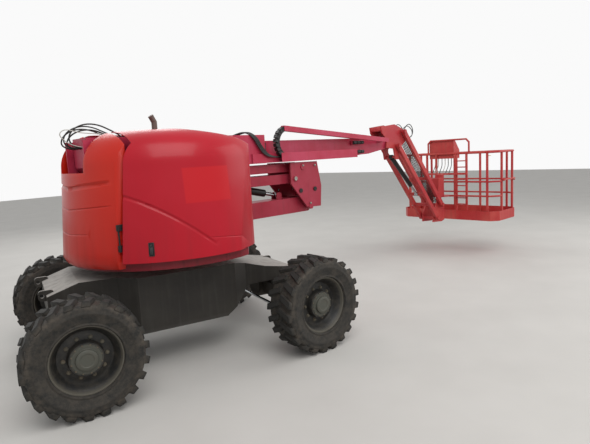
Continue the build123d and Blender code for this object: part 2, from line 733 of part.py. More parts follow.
def knuckle_frame():
    outline = [(1500, 1765), (1950, 1760), (2010, 1462), (1987, 1209), (1753, 1216), (1690, 1290), (1500, 1515)]
    frame = None
    for side in (-1, 1):
        low = min(side * PLATE_Y, side * (PLATE_Y + PLATE_THICKNESS))
        sheet = plate(outline, low, low + PLATE_THICKNESS)
        for hole in ((1649, 1426), (1891, 1429)):
            sheet -= cross_pin(hole, 22, low - 1, low + PLATE_THICKNESS + 1)
        frame = sheet if frame is None else frame + sheet
    frame += block(1935, 1950, -PLATE_Y, PLATE_Y, 1330, 1700)
    frame += pin_with_heads(LOWER_ARM_FRONT, PIN_RADIUS)
    frame += pin_with_heads(UPPER_ARM_FRONT, PIN_RADIUS)
    frame += pin_with_heads(step_from(UPPER_ARM_FRONT, UPPER_LINK_STEP), PIN_RADIUS)
    link_pin = step_from(LOWER_ARM_FRONT, LOWER_LINK_STEP)
    frame += cross_pin(link_pin, LINK_PIN_RADIUS, LOWER_LINK_Y - LINK_PIN_END, PLATE_Y + PLATE_THICKNESS)
    frame += cross_pin(link_pin, 45, PLATE_Y - 5, PLATE_Y + PLATE_THICKNESS)
    return frame


def boom_foot():
    outline = [(-850, 1525), (-420, 1525), (-400, 1660), (-560, 2060), (-850, 2067)]
    foot = None
    for side in (-1, 1):
        low = min(side * PLATE_Y, side * (PLATE_Y + PLATE_THICKNESS))
        sheet = plate(outline, low, low + PLATE_THICKNESS)
        foot = sheet if foot is None else foot + sheet
    foot += block(-850, -835, -PLATE_Y, PLATE_Y, 1600, 1750)
    for place in (UPPER_ARM_REAR, step_from(UPPER_ARM_REAR, UPPER_LINK_STEP), BOOM_PIVOT):
        foot += pin_with_heads(place, PIN_RADIUS)
    return foot


def cylinder_seat():
    """Two plates inside the boom's foot that hold the boom cylinder."""
    outline = [(-835, 1655), (-395, 1655), (-395, 1727), (-480, 1740), (-835, 1745)]
    low = BOOM_EYE_HALF + GAP
    high = low + SEAT_PLATE
    seat = cross_pin(BOOM_CYL_FOOT, CYL_PIN, -high, high)
    link_pin = step_from(UPPER_ARM_REAR, UPPER_LINK_STEP)
    for y in (low, -high):
        sheet = plate(outline, y, y + SEAT_PLATE)
        seat += sheet - cross_pin(link_pin, PIN_RADIUS + FIT, y - 1, y + SEAT_PLATE + 1)
    return seat


def outer_boom():
    """Hollow outer boom section with its pivot eye, slide pads and cylinder ears."""
    outline = [(OUTER_REAR, OUTER_BOTTOM + 60), (OUTER_REAR + 60, OUTER_BOTTOM), (OUTER_FRONT, OUTER_BOTTOM),
               (OUTER_FRONT, OUTER_TOP), (OUTER_REAR, OUTER_TOP)]
    boom = plate(outline, -OUTER_HALF, OUTER_HALF)
    inner_half = OUTER_HALF - OUTER_WALL
    boom -= block(OUTER_REAR + 190, OUTER_FRONT + 1, -inner_half, inner_half,
                  OUTER_BOTTOM + OUTER_WALL, OUTER_TOP - OUTER_WALL)
    boom -= cross_pin(BOOM_PIVOT, PIN_RADIUS + FIT, -OUTER_HALF - 1, OUTER_HALF + 1)
    pad_rear = OUTER_FRONT - PAD_LENGTH
    floor = OUTER_BOTTOM + OUTER_WALL
    boom += block(pad_rear, OUTER_FRONT, -inner_half, inner_half, floor, INNER_BOTTOM - FIT)
    boom += block(pad_rear, OUTER_FRONT, -inner_half, inner_half, INNER_TOP + FIT, OUTER_TOP - OUTER_WALL)
    for side in (-1, 1):
        low = min(side * (INNER_HALF + FIT), side * inner_half)
        pad = inner_half - INNER_HALF - FIT
        boom += block(pad_rear, OUTER_FRONT, low, low + pad, floor, OUTER_TOP - OUTER_WALL)
    return boom


def boom_ears():
    return ears(BOOM_CYL_EYE, BOOM_EYE_HALF + GAP, 16, 32, OUTER_BOTTOM, 32)


def inner_boom():
    """Hollow inner boom section with the tapered head that carries the jib bracket."""
    beam = block(INNER_REAR, INNER_BEAM_END, -INNER_HALF, INNER_HALF, INNER_BOTTOM, INNER_TOP)
    beam -= block(INNER_REAR - 1, INNER_BEAM_END - 40, -INNER_HALF + INNER_WALL, INNER_HALF - INNER_WALL,
                  INNER_BOTTOM + INNER_WALL, INNER_TOP - INNER_WALL)
    head = [(INNER_BEAM_END - 60, INNER_BOTTOM), (3150, 1810), (3540, 1868), (3660, 1900), (3670, 1960),
            (3600, 2000), (INNER_BEAM_END - 60, INNER_TOP)]
    beam += plate(head, -HEAD_HALF, HEAD_HALF)
    beam -= cross_pin(HEAD_PIVOT, PIN_RADIUS + FIT, -HEAD_HALF - 1, HEAD_HALF + 1)
    return beam


def hose_tray():
    """Open channel beside the inner boom, held at the front of the outer boom."""
    low = TRAY_Y - TRAY_WIDTH / 2
    tray = block(TRAY_START, TRAY_END, low, low + TRAY_WIDTH, TRAY_BOTTOM, TRAY_TOP)
    tray -= block(TRAY_START - 1, TRAY_END + 1, low + TRAY_SHEET, low + TRAY_WIDTH - TRAY_SHEET,
                  TRAY_BOTTOM + TRAY_SHEET, TRAY_TOP + 1)
    arm_rear = OUTER_FRONT - TRAY_ARM
    tray += block(arm_rear, TRAY_START, low + TRAY_WIDTH - TRAY_SHEET, low + TRAY_WIDTH, TRAY_BOTTOM, TRAY_TOP)
    tray += block(arm_rear, arm_rear + 80, low + TRAY_WIDTH, -OUTER_HALF, TRAY_BOTTOM, TRAY_TOP)
    return tray


def guide_bar():
    """Sloping bar above the inner boom that pulls the hose chain, fixed at the head."""
    half = GUIDE_BAR_DEPTH / 2
    rear, front = GUIDE_BAR_REAR, GUIDE_BAR_FRONT
    outline = [(rear[0], rear[1] - half), (front[0], front[1] - half), (front[0] + 60, front[1] - half),
               (front[0] + 60, front[1] + half - 10), (front[0], front[1] + half), (rear[0], rear[1] + half)]
    low = TRAY_Y - GUIDE_BAR_WIDTH / 2
    bar = plate(outline, low, low + GUIDE_BAR_WIDTH)
    bar += block(front[0] - 40, front[0] + 60, low + GUIDE_BAR_WIDTH, -HEAD_HALF,
                 front[1] - half, front[1] + half - 10)
    return bar


def hose_chain():
    """Energy chain: a band from the bar's rear end round and down into the tray."""
    low = TRAY_Y - GUIDE_BAR_WIDTH / 2
    top = GUIDE_BAR_REAR[1]
    bottom = TRAY_BOTTOM + TRAY_SHEET + SEAT_GAP + CHAIN_THICKNESS / 2
    bend = (top - bottom) / 2
    place = (GUIDE_BAR_REAR[0] - SEAT_GAP, (top + bottom) / 2)
    ring = cross_pin(place, bend + CHAIN_THICKNESS / 2, low, low + GUIDE_BAR_WIDTH)
    ring -= cross_pin(place, bend - CHAIN_THICKNESS / 2, low - 1, low + GUIDE_BAR_WIDTH + 1)
    rear_half = block(place[0] - 2 * bend, place[0], low - 1, low + GUIDE_BAR_WIDTH + 1, 0, 2 * top)
    lower_run = block(place[0], TRAY_END - 200, low, low + GUIDE_BAR_WIDTH,
                      bottom - CHAIN_THICKNESS / 2, bottom + CHAIN_THICKNESS / 2)
    return (ring & rear_half) + lower_run


def jib_places():
    lower_top = JIB_LOWER_TOP
    upper_top = step_from(lower_top, JIB_UPPER_STEP)
    lower_end = along(lower_top, JIB_ANGLE, JIB_LENGTH)
    upper_end = step_from(lower_end, JIB_UPPER_STEP)
    return lower_top, upper_top, lower_end, upper_end


def jib_bracket():
    """Levelled bracket on the boom head that carries the jib."""
    outline = [(3530, 1880), (3560, 1990), (3440, 2090), (3420, 2180), (3753, 2216), (3932, 2158),
               (4080, 2068), (4050, 1980), (3850, 1850), (3850, 1700), (3760, 1700), (3720, 1860), (3620, 1870)]
    bracket = None
    for side in (-1, 1):
        low = min(side * (BRACKET_Y - BRACKET_PLATE / 2), side * (BRACKET_Y + BRACKET_PLATE / 2))
        sheet = plate(outline, low, low + BRACKET_PLATE)
        bracket = sheet if bracket is None else bracket + sheet
    inner = BRACKET_Y - BRACKET_PLATE / 2
    bracket += block(3450, 3740, -inner, inner, 2120, 2140)
    lower_top, upper_top, _, _ = jib_places()
    for place in (HEAD_PIVOT,):
        bracket += cross_pin(place, PIN_RADIUS, -inner - 1, inner + 1)
    for place in (lower_top, upper_top):
        for side in (-1, 1):
            low = min(side * (BRACKET_Y - 10), side * (JIB_BAR_Y + 30))
            bracket += cross_pin(place, PIN_RADIUS, low, low + JIB_BAR_Y + 30 - BRACKET_Y + 10)
            head_low = min(side * (JIB_BAR_Y + 24), side * (JIB_BAR_Y + 32))
            bracket += hex_head(place, PIN_RADIUS + 10, head_low, head_low + 8)
    bracket += cross_pin(JIB_CYLINDER_BASE, 18, -inner - 1, inner + 1)
    return bracket


def jib_bars(start, end, tie_at):
    """Two like bars side by side between two pivots, joined by a cross tube."""
    pair = None
    half = JIB_BAR_WIDTH / 2
    for side in (-1, 1):
        y = side * JIB_BAR_Y
        bar = link_bar(start, end, JIB_BAR_DEPTH / 2, y - half, y + half)
        pair = bar if pair is None else pair + bar
    tie = along(start, JIB_ANGLE, tie_at)
    pair += cross_pin(tie, 25, -JIB_BAR_Y, JIB_BAR_Y)
    for place in (start, end):
        pair -= cross_pin(place, PIN_RADIUS + FIT, -JIB_BAR_Y - 40, JIB_BAR_Y + 40)
    return pair


def jib_arm():
    lower_top, upper_top, lower_end, upper_end = jib_places()
    arm = jib_bars(lower_top, lower_end, ARM_TIE)
    stub = along(lower_top, JIB_ANGLE, JIB_CYLINDER_REACH)
    for side in (-1, 1):
        low = min(side * (EYE_HALF + GAP), side * JIB_BAR_Y)
        arm += cross_pin(stub, 26, low, low + JIB_BAR_Y - EYE_HALF - GAP)
    return arm


def jib_link():
    lower_top, upper_top, lower_end, upper_end = jib_places()
    return jib_bars(upper_top, upper_end, LINK_TIE)


def basket_support():
    """Levelled bracket at the jib's end, with the rotator housing."""
    _, _, lower_end, upper_end = jib_places()
    outline = [(4790, 620), (5060, 600), (5150, 620), (5150, 880), (5060, 950), (5060, ROTATOR_TOP - 40),
               (4990, ROTATOR_TOP - 40), (4950, 1000), (4800, 740)]
    support = None
    for side in (-1, 1):
        low = min(side * (BRACKET_Y - BRACKET_PLATE / 2), side * (BRACKET_Y + BRACKET_PLATE / 2))
        sheet = plate(outline, low, low + BRACKET_PLATE)
        support = sheet if support is None else support + sheet
    for place in (lower_end, upper_end):
        support += cross_pin(place, PIN_RADIUS, -JIB_BAR_Y - 24, JIB_BAR_Y + 24)
        for side in (-1, 1):
            head_low = min(side * (JIB_BAR_Y + 24), side * (JIB_BAR_Y + 32))
            support += hex_head(place, PIN_RADIUS + 10, head_low, head_low + 8)
    support += block(5000, ROTATOR_X - 50, -BRACKET_Y, BRACKET_Y, ROTATOR_BOTTOM, ROTATOR_TOP - 40)
    housing = upright(ROTATOR_X, 0, ROTATOR_RADIUS, ROTATOR_BOTTOM, ROTATOR_TOP)
    bore = upright(ROTATOR_X, 0, SHAFT_RADIUS + FIT, ROTATOR_BOTTOM - 1, ROTATOR_TOP + 1)
    return support + housing - bore


def basket_corners(inset):
    near = BASKET_NEAR + inset
    far = BASKET_FAR - inset
    half = BASKET_HALF - inset
    cut = CORNER_CUT
    return [(near, -half + cut), (near + cut, -half), (far - cut, -half), (far, -half + cut),
            (far, half - cut), (far - cut, half), (near + cut, half), (near, half - cut)]


def basket_posts():
    """Middle of each post in (x, y)."""
    inset = RAIL_RADIUS + TOE_PLATE
    near = BASKET_NEAR + inset
    far = BASKET_FAR - inset
    side = BASKET_HALF - inset
    posts = [(near, y) for y in (-732, -373, -190, 190, 373, 732)]
    posts += [(far, y) for y in (-732, -250, 250, 732)]
    return posts + [(x, y) for x in (GATE_START, GATE_END) for y in (-side, side)]


def basket_floor():
    """Floor with its toe board, and a pad under each post."""
    plan = make_face(Polyline(*basket_corners(0), close=True))
    inner = make_face(Polyline(*basket_corners(TOE_PLATE), close=True))
    floor = Pos(0, 0, BASKET_BOTTOM) * extrude(plan, FLOOR_PLATE)
    floor += Pos(0, 0, BASKET_BOTTOM) * extrude(plan - inner, TOE_HEIGHT)
    top = BASKET_BOTTOM + FLOOR_PLATE
    for x, y in basket_posts():
        floor += block(x - POST_HALF, x + POST_HALF, y - POST_HALF, y + POST_HALF, top, top + POST_PAD)
    return floor


def basket_rails():
    """Tube rails and posts, with the two stubs of the drop bar."""
    inset = RAIL_RADIUS + TOE_PLATE
    corners = basket_corners(inset)
    top = BASKET_TOP - RAIL_RADIUS
    gate_y = -BASKET_HALF + inset
    way_in = [(GATE_END, gate_y)] + corners[2:] + corners[:2] + [(GATE_START, gate_y)]
    rails = tube_run([(x, y, top) for x, y in corners], RAIL_RADIUS, True)
    for level in (MID_RAIL_Z, LOW_RAIL_Z):
        rails += tube_run([(x, y, level) for x, y in way_in], MID_RAIL_RADIUS, False)
    foot = BASKET_BOTTOM + FLOOR_PLATE + POST_PAD
    for x, y in basket_posts():
        rails += block(x - POST_HALF, x + POST_HALF, y - POST_HALF, y + POST_HALF, foot, top)
    for x, z in ((GATE_START, GATE_Z), (GATE_END, GATE_Z - 2 * GATE_RADIUS - SEAT_GAP)):
        rails += cross_pin((x, z), GATE_RADIUS * 0.66, -BASKET_HALF - 28, gate_y)
    return rails


def lanyard_anchors():
    """Two drilled plates on the corner posts, for the hooks of safety lanyards."""
    post = BASKET_NEAR + RAIL_RADIUS + TOE_PLATE
    top = ANCHOR_Z + ANCHOR_PLATE
    anchors = None
    for side in (-1, 1):
        y = side * ANCHOR_Y
        anchor = block(post + POST_HALF + SEAT_GAP, post + ANCHOR_REACH,
                       y - ANCHOR_HALF, y + ANCHOR_HALF, ANCHOR_Z, top)
        anchor -= upright(post + ANCHOR_HOLE_X, y, ANCHOR_HOLE, ANCHOR_Z - 1, top + 1)
        anchors = anchor if anchors is None else anchors + anchor
    return anchors


def console_hoop():
    """Guard tube that stands on the top rail and arches over the console."""
    x = BASKET_NEAR + RAIL_RADIUS + TOE_PLATE
    foot = BASKET_TOP + SEAT_GAP
    bend = HOOP_BEND
    points = [(x, HOOP_LEFT, foot), (x, HOOP_LEFT, HOOP_TOP - bend), (x, HOOP_LEFT - bend, HOOP_TOP),
              (x, HOOP_RIGHT + bend, HOOP_TOP), (x, HOOP_RIGHT, HOOP_TOP - bend), (x, HOOP_RIGHT, foot)]
    return tube_run(points, MID_RAIL_RADIUS, False)


def basket_yoke():
    """Two flanges on the rotator's shaft, each welded to a tube along the near rails."""
    near = BASKET_NEAR - YOKE_TUBE - SEAT_GAP
    turn_plate = [(ROTATOR_X - 45, -45), (near, -120), (near, 120), (ROTATOR_X - 45, 45)]
    yoke = upright(ROTATOR_X, 0, SHAFT_RADIUS, ROTATOR_BOTTOM - FLANGE_PLATE, ROTATOR_TOP + FLANGE_PLATE)
    for z in (ROTATOR_BOTTOM - FLANGE_PLATE - SEAT_GAP, ROTATOR_TOP + SEAT_GAP):
        yoke += Pos(0, 0, z) * extrude(make_face(Polyline(*turn_plate, close=True)), FLANGE_PLATE)
        middle = z + FLANGE_PLATE / 2
        yoke += block(near - 4, BASKET_NEAR + TOE_PLATE + RAIL_RADIUS - POST_HALF - SEAT_GAP, -400, 400,
                      middle - YOKE_TUBE / 2, middle + YOKE_TUBE / 2)
    return yoke


def console():
    back = BASKET_NEAR + TOE_PLATE + 2 * RAIL_RADIUS + SEAT_GAP
    box = [(back, 1640), (back, 1950), (back + 45, 1960), (back + 205, 1780), (back + 205, 1640)]
    return plate(box, -130, 330)


def gate():
    """Drop bar outside the posts of the way in, turning on a stub at one end."""
    y = -BASKET_HALF - GATE_RADIUS - 2
    bar = rod((GATE_START, y, GATE_Z), (GATE_END + 20, y, GATE_Z), GATE_RADIUS)
    bar += cross_pin((GATE_START, GATE_Z), 20, y - GATE_RADIUS, y + GATE_RADIUS)
    return bar - cross_pin((GATE_START, GATE_Z), GATE_RADIUS * 0.66 + FIT, y - 20, y + 20)


def cylinder_pair(foot, eye, barrel_radius, rod_radius, barrel_share, eye_half, rod_start):
    """Barrel and rod of a hydraulic cylinder between two (x, z) pivots."""
    run = hypot(eye[0] - foot[0], eye[1] - foot[1])
    turn = degrees(atan2(eye[1] - foot[1], eye[0] - foot[0]))
    barrel_end = run * barrel_share
    along_x = Rot(0, 90, 0)
    barrel = Pos(barrel_end / 2 + 15, 0, 0) * along_x * Cylinder(barrel_radius, barrel_end - 30)
    barrel -= Pos(barrel_end / 2 + 60, 0, 0) * along_x * Cylinder(rod_radius + FIT, barrel_end - 60)
    barrel += Rot(90, 0, 0) * Cylinder(barrel_radius * 0.9, 2 * eye_half)
    barrel -= Rot(90, 0, 0) * Cylinder(CYL_PIN + FIT, 4 * eye_half)
    shaft = Pos((run + rod_start) / 2 - 10, 0, 0) * along_x * Cylinder(rod_radius, run - rod_start - 20)
    shaft += Pos(run, 0, 0) * Rot(90, 0, 0) * Cylinder(rod_radius * 1.5, 2 * eye_half)
    place = Pos(foot[0], 0, foot[1]) * Rot(0, -turn, 0)
    return place * barrel, place * shaft


def cylinders():
    stub = along(JIB_LOWER_TOP, JIB_ANGLE, JIB_CYLINDER_REACH)
    table = {
        # name: foot, eye, barrel radius, rod radius, barrel share of the run, half eye width, start of the rod
        "boom_cylinder": (BOOM_CYL_FOOT, BOOM_CYL_EYE, BARREL_RADIUS, ROD_RADIUS, 0.8, BOOM_EYE_HALF, ROD_START),
        "arm_cylinder": (ARM_CYL_FOOT, ARM_CYL_EYE, BARREL_RADIUS, ROD_RADIUS, 0.78, EYE_HALF, ROD_START),
        "jib_cylinder": (JIB_CYLINDER_BASE, stub, 34, CYL_PIN, 0.75, EYE_HALF, JIB_ROD_START),
    }
    pieces = {}
    for name, sizes in table.items():
        barrel, shaft = cylinder_pair(*sizes)
        pieces[name + "_barrel"] = barrel
        pieces[name + "_rod"] = shaft
    return pieces


def engine():
    x, y = ENGINE_PLACE
    size_x, size_y, size_z = ENGINE_SIZE
    return block(x - size_x / 2, x + size_x / 2, y - size_y / 2, y + size_y / 2, DECK_TOP, DECK_TOP + size_z)


def exhaust():
    x, y = EXHAUST_PLACE
    pipe = upright(x, y, EXHAUST_RADIUS, DECK_TOP + ENGINE_SIZE[2], EXHAUST_TOP)
    pipe += rod((x, y, EXHAUST_TOP), (x - 30, y, EXHAUST_TOP + 55), EXHAUST_RADIUS)
    pipe += Pos(x, y, EXHAUST_TOP) * Sphere(EXHAUST_RADIUS)
    return pipe


def middle_x():
    """Middle of the machine's length: from the turned rear wheel to the basket's far side."""
    turn = radians(TURRET_TURN)
    wheel_x = -WHEEL_BASE / 2 * cos(turn) - TRACK / 2 * sin(turn)
    rear = wheel_x - WHEEL_RADIUS * cos(turn) - TYRE_WIDTH / 2 * sin(turn)
    return (rear + BASKET_FAR) / 2


def build():
    front_axle, rear_axle = axles()
    knuckle_left, knuckle_right, tie_rod = steering()
    hood_right = hood()
    notch = block(NOTCH_REAR_X, NOTCH_FRONT_X, NOTCH_Y, 0, SHOULDER_START, 2 * CUT_REACH)
    hinges_right = hinges()
    lower_link, upper_link = links()
    pieces = {
        "chassis_frame": on_chassis(chassis_frame()),
        "front_axle": on_chassis(front_axle),
        "rear_axle": on_chassis(rear_axle),
        "slew_ring": slew_ring(),
        "knuckle_left": knuckle_left,
        "knuckle_right": knuckle_right,
        "tie_rod": tie_rod,
        "turntable": turntable(),
        "casting": casting(),
        "hood_hinges": hinges_right + mirrored(hinges_right),
        "engine": engine(),
        "exhaust": exhaust(),
        "hood_right": hood_right - notch,
        "hood_left": mirrored(hood_right),
        "lower_arm": lower_arm(),
        "lower_link": lower_link,
        "arm_knuckle": knuckle_frame(),
        "upper_arm": upper_arm(),
        "upper_link": upper_link,
        "boom_foot": boom_foot(),
        "cylinder_seat": cylinder_seat(),
        "outer_boom": outer_boom(),
        "boom_ears": boom_ears(),
        "hose_tray": hose_tray(),
        "hose_chain": hose_chain(),
        "inner_boom": inner_boom(),
        "guide_bar": guide_bar(),
        "jib_bracket": jib_bracket(),
        "jib_arm": jib_arm(),
        "jib_link": jib_link(),
        "basket_support": basket_support(),
        "basket_floor": basket_floor(),
        "basket_rails": basket_rails(),
        "basket_yoke": basket_yoke(),
        "console": console(),
        "console_hoop": console_hoop(),
        "lanyard_anchors": lanyard_anchors(),
        "gate_bar": gate(),
    }
    pieces.update(wheels())
    pieces.update(cylinders())
    return pieces


def main():
    os.makedirs("parts", exist_ok=True)
    for name, shape in build().items():
        export_step(Pos(-middle_x(), 0, 0) * shape, os.path.join("parts", name + ".step"))


if __name__ == "__main__":
    main()
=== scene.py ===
# %% [markdown]
# # An articulated boom lift
# The CAD model gives every rigid piece and every joint. Blender adds what the eye needs on top of it:
# paint that has stood outdoors, muddy rubber, bolts, hoses and cables. The whole file works in metres,
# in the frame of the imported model, so a new piece is put where the CAD piece that carries it really is.

# %% Load the frame
import math
import bpy
from mathutils import Matrix, Vector


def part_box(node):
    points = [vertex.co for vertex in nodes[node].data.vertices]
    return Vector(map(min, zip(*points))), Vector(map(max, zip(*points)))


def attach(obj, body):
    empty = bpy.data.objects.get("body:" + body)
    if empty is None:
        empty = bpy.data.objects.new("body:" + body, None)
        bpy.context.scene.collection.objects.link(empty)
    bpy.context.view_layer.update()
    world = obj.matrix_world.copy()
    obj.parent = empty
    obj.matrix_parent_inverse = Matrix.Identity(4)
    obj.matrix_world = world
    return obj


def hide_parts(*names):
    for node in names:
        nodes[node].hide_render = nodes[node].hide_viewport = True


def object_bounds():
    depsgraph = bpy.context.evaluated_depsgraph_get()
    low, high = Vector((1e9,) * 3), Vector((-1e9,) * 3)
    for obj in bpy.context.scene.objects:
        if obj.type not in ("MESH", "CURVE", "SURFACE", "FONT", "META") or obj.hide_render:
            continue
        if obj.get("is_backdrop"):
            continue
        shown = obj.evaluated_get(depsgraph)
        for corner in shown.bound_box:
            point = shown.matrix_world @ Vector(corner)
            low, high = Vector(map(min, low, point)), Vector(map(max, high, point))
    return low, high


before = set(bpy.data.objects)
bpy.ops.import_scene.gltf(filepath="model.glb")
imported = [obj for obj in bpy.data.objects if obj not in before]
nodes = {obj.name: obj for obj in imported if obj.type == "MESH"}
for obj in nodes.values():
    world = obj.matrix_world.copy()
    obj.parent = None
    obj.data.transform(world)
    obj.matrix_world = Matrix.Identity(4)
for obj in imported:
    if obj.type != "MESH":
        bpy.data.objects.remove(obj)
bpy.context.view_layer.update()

# %% [markdown]
# The boom lies along x, and the turret turns about the slew ring's middle. Pieces on the turret and boom
# are easiest to place from that axis, so one small function turns a reach along the boom, a distance to the
# left and a height into a point.

# %% Where the slewing axis stands
ring_low, ring_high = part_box("slew_ring")
SLEW_X = (ring_low.x + ring_high.x) / 2
CHASSIS_TURN = math.radians(-13.9)


def at(reach, left, height):
    return Vector((SLEW_X + reach, left, height))


print("slewing axis at x", round(SLEW_X, 3))

# %% [markdown]
# ## Colours and nodes
# Colours are written as the sRGB hex values that a paint chart would give. The shader wants linear light,
# so one function converts them. Another adds a node, sets its sockets and joins it to the nodes before it.

# %% Colour and node helpers
def linear(colour):
    channels = [int(colour[i:i + 2], 16) / 255 for i in (1, 3, 5)]
    return tuple(c / 12.92 if c < 0.04045 else ((c + 0.055) / 1.055) ** 2.4 for c in channels) + (1,)


def add_node(material, kind, sockets=None, **settings):
    node = material.node_tree.nodes.new(kind)
    for name, value in settings.items():
        setattr(node, name, value)
    for key, value in (sockets or {}).items():
        if isinstance(value, bpy.types.NodeSocket):
            material.node_tree.links.new(value, node.inputs[key])
        else:
            node.inputs[key].default_value = value
    return node


def new_material(name):
    material = bpy.data.materials.new(name)
    material.use_nodes = True
    material.node_tree.nodes.clear()
    return material


def finish_surface(material, shader):
    output = add_node(material, "ShaderNodeOutputMaterial")
    material.node_tree.links.new(shader.outputs[0], output.inputs["Surface"])
    return material


# %% [markdown]
# ## Painted steel
# The booms, links and basket are mild steel, sprayed with a two-pack machine paint. Such paint starts
# glossy, and then the sun chalks it: it goes paler and pinker in patches, rain draws darker streaks down it,
# and dust settles on what faces up. On the chassis that upward share is so strong and pale that it is
# also painted light on the lit tops. Paint also thins on sharp edges and chips down to rusty steel.
# One recipe does this with different colours and amounts of dirt. The Bevel node rounds edges in the
# shading only, and where its normal leaves the true one there is an edge, so the same node finds the wear.

# %% Weathered paint
def weathered_paint(name, paint, faded, dirt, gloss=0.38, dirt_share=0.3, mud_height=0.0, edge_wear=0.5,
                    dust_and_top_light_share=None):
    material = new_material(name)
    place = add_node(material, "ShaderNodeTexCoord").outputs["Object"]
    patches = add_node(material, "ShaderNodeTexNoise", {"Vector": place, "Scale": 2.2, "Detail": 5.0,
        "Roughness": 0.6})
    fade = add_node(material, "ShaderNodeMapRange", {"Value": patches.outputs["Fac"], "From Min": 0.35,
        "From Max": 0.7})
    colour = add_node(material, "ShaderNodeMix", {"Factor": fade.outputs[0], "A": linear(paint),
        "B": linear(faded)}, data_type="RGBA")
    stretched = add_node(material, "ShaderNodeMapping", {"Vector": place, "Scale": (26, 26, 1.5)})
    streaks = add_node(material, "ShaderNodeTexNoise", {"Vector": stretched.outputs[0], "Scale": 1.0,
        "Detail": 3.0})
    streak = add_node(material, "ShaderNodeMapRange", {"Value": streaks.outputs["Fac"], "From Min": 0.52,
        "From Max": 0.75, "To Max": dirt_share * 0.7})
    grime = add_node(material, "ShaderNodeTexNoise", {"Vector": place, "Scale": 11.0, "Detail": 8.0,
        "Roughness": 0.7})
    true_normal = add_node(material, "ShaderNodeNewGeometry").outputs["Normal"]
    facing = add_node(material, "ShaderNodeSeparateXYZ", {"Vector": true_normal})
    # Faces that look up get dust. Where the share is large and the dirt pale, as on the chassis, this is also
    # painted light on the lit tops.
    upward = add_node(material, "ShaderNodeMapRange", {"Value": facing.outputs["Z"], "From Min": 0.2,
        "To Max": dust_and_top_light_share or dirt_share})
    dust_and_top_light = add_node(material, "ShaderNodeMath", {0: upward.outputs[0], 1: grime.outputs["Fac"]},
        operation="MULTIPLY")
    height = add_node(material, "ShaderNodeSeparateXYZ", {"Vector": place})
    low = add_node(material, "ShaderNodeMapRange", {"Value": height.outputs["Z"], "From Min": mud_height,
        "From Max": mud_height - 0.45, "To Max": 1.0})
    splash = add_node(material, "ShaderNodeMath", {0: low.outputs[0], 1: grime.outputs["Fac"]},
        operation="MULTIPLY")
    soiled = add_node(material, "ShaderNodeMath", {0: streak.outputs[0], 1: dust_and_top_light.outputs[0]})
    soiled = add_node(material, "ShaderNodeMath", {0: soiled.outputs[0], 1: splash.outputs[0]},
        use_clamp=True)
    colour = add_node(material, "ShaderNodeMix", {"Factor": soiled.outputs[0],
        "A": colour.outputs["Result"], "B": linear(dirt)}, data_type="RGBA")
    rounded = add_node(material, "ShaderNodeBevel", {"Radius": 0.004}, samples=4)
    agreement = add_node(material, "ShaderNodeVectorMath", {0: rounded.outputs[0], 1: true_normal},
        operation="DOT_PRODUCT")
    edge = add_node(material, "ShaderNodeMapRange", {"Value": agreement.outputs["Value"], "From Min": 0.985,
        "From Max": 0.85, "To Max": edge_wear})
    chips = add_node(material, "ShaderNodeMapRange", {"Value": grime.outputs["Fac"], "From Min": 0.5,
        "From Max": 0.56})
    worn = add_node(material, "ShaderNodeMath", {0: edge.outputs[0], 1: chips.outputs[0]},
        operation="MULTIPLY")
    colour = add_node(material, "ShaderNodeMix", {"Factor": worn.outputs[0], "A": colour.outputs["Result"],
        "B": linear("#5A3A2C")}, data_type="RGBA")
    roughness = add_node(material, "ShaderNodeMapRange", {"Value": soiled.outputs[0], "To Min": gloss,
        "To Max": 0.85})
    peel = add_node(material, "ShaderNodeTexNoise", {"Vector": place, "Scale": 160.0, "Detail": 2.0})
    relief = add_node(material, "ShaderNodeBump", {"Height": peel.outputs["Fac"], "Distance": 0.0008,
        "Strength": 0.25, "Normal": rounded.outputs[0]})
    shader = add_node(material, "ShaderNodeBsdfPrincipled", {"Base Color": colour.outputs["Result"],
        "Roughness": roughness.outputs[0], "Specular IOR Level": 0.3, "Normal": relief.outputs[0]})
    return finish_surface(material, shader)


boom_paint = weathered_paint("two_pack_boom_red", "#A8203A", "#B8405A", "#5B3A36", gloss=0.42,
    dirt_share=0.2)
arm_paint = weathered_paint("two_pack_arm_red", "#921E30", "#A03244", "#45302C", dirt_share=0.35)
jib_paint = weathered_paint("two_pack_jib_red", "#A8262F", "#BC4A44", "#57392F", gloss=0.45)
basket_paint = weathered_paint("two_pack_basket_red", "#B02C30", "#C05048", "#6B4A3C", edge_wear=0.9)
skirt_paint = weathered_paint("two_pack_skirt_red", "#6E1820", "#852530", "#2C1D1C", dirt_share=0.6)
# The chassis' pale dirt, laid on strongly where faces look up, is dust and also painted light on the lit
# tops.
frame_paint = weathered_paint("machine_grey_chassis", "#2B2825", "#383530", "#A19E98", gloss=0.5,
    dirt_share=0.04, mud_height=0.40, dust_and_top_light_share=1.9)
axle_paint = weathered_paint("machine_grey_axle", "#2B2A28", "#393733", "#4A4239", gloss=0.6,
    dirt_share=0.7, mud_height=0.8)
ring_paint = weathered_paint("machine_grey_ring", "#6B6C69", "#8B8D89", "#4E453B", gloss=0.5,
    dirt_share=0.5)
black_paint = weathered_paint("black_enamel", "#141414", "#242322", "#4A4038", gloss=0.4)
print("paints", len(bpy.data.materials))

# %% [markdown]
# ## Moulded hoods
# The big hoods are glass-fibre shells. Their colour is a gel-coat, sprayed into the mould first, so it is
# smooth, deep and glossy, with slow waves from the mould and no brush or spray texture. Outdoors it keeps
# more gloss than paint, but a grey film of dried rain gathers low down and in streaks. A clear coat over a
# rougher base gives the two reflections that a gel-coat shows.

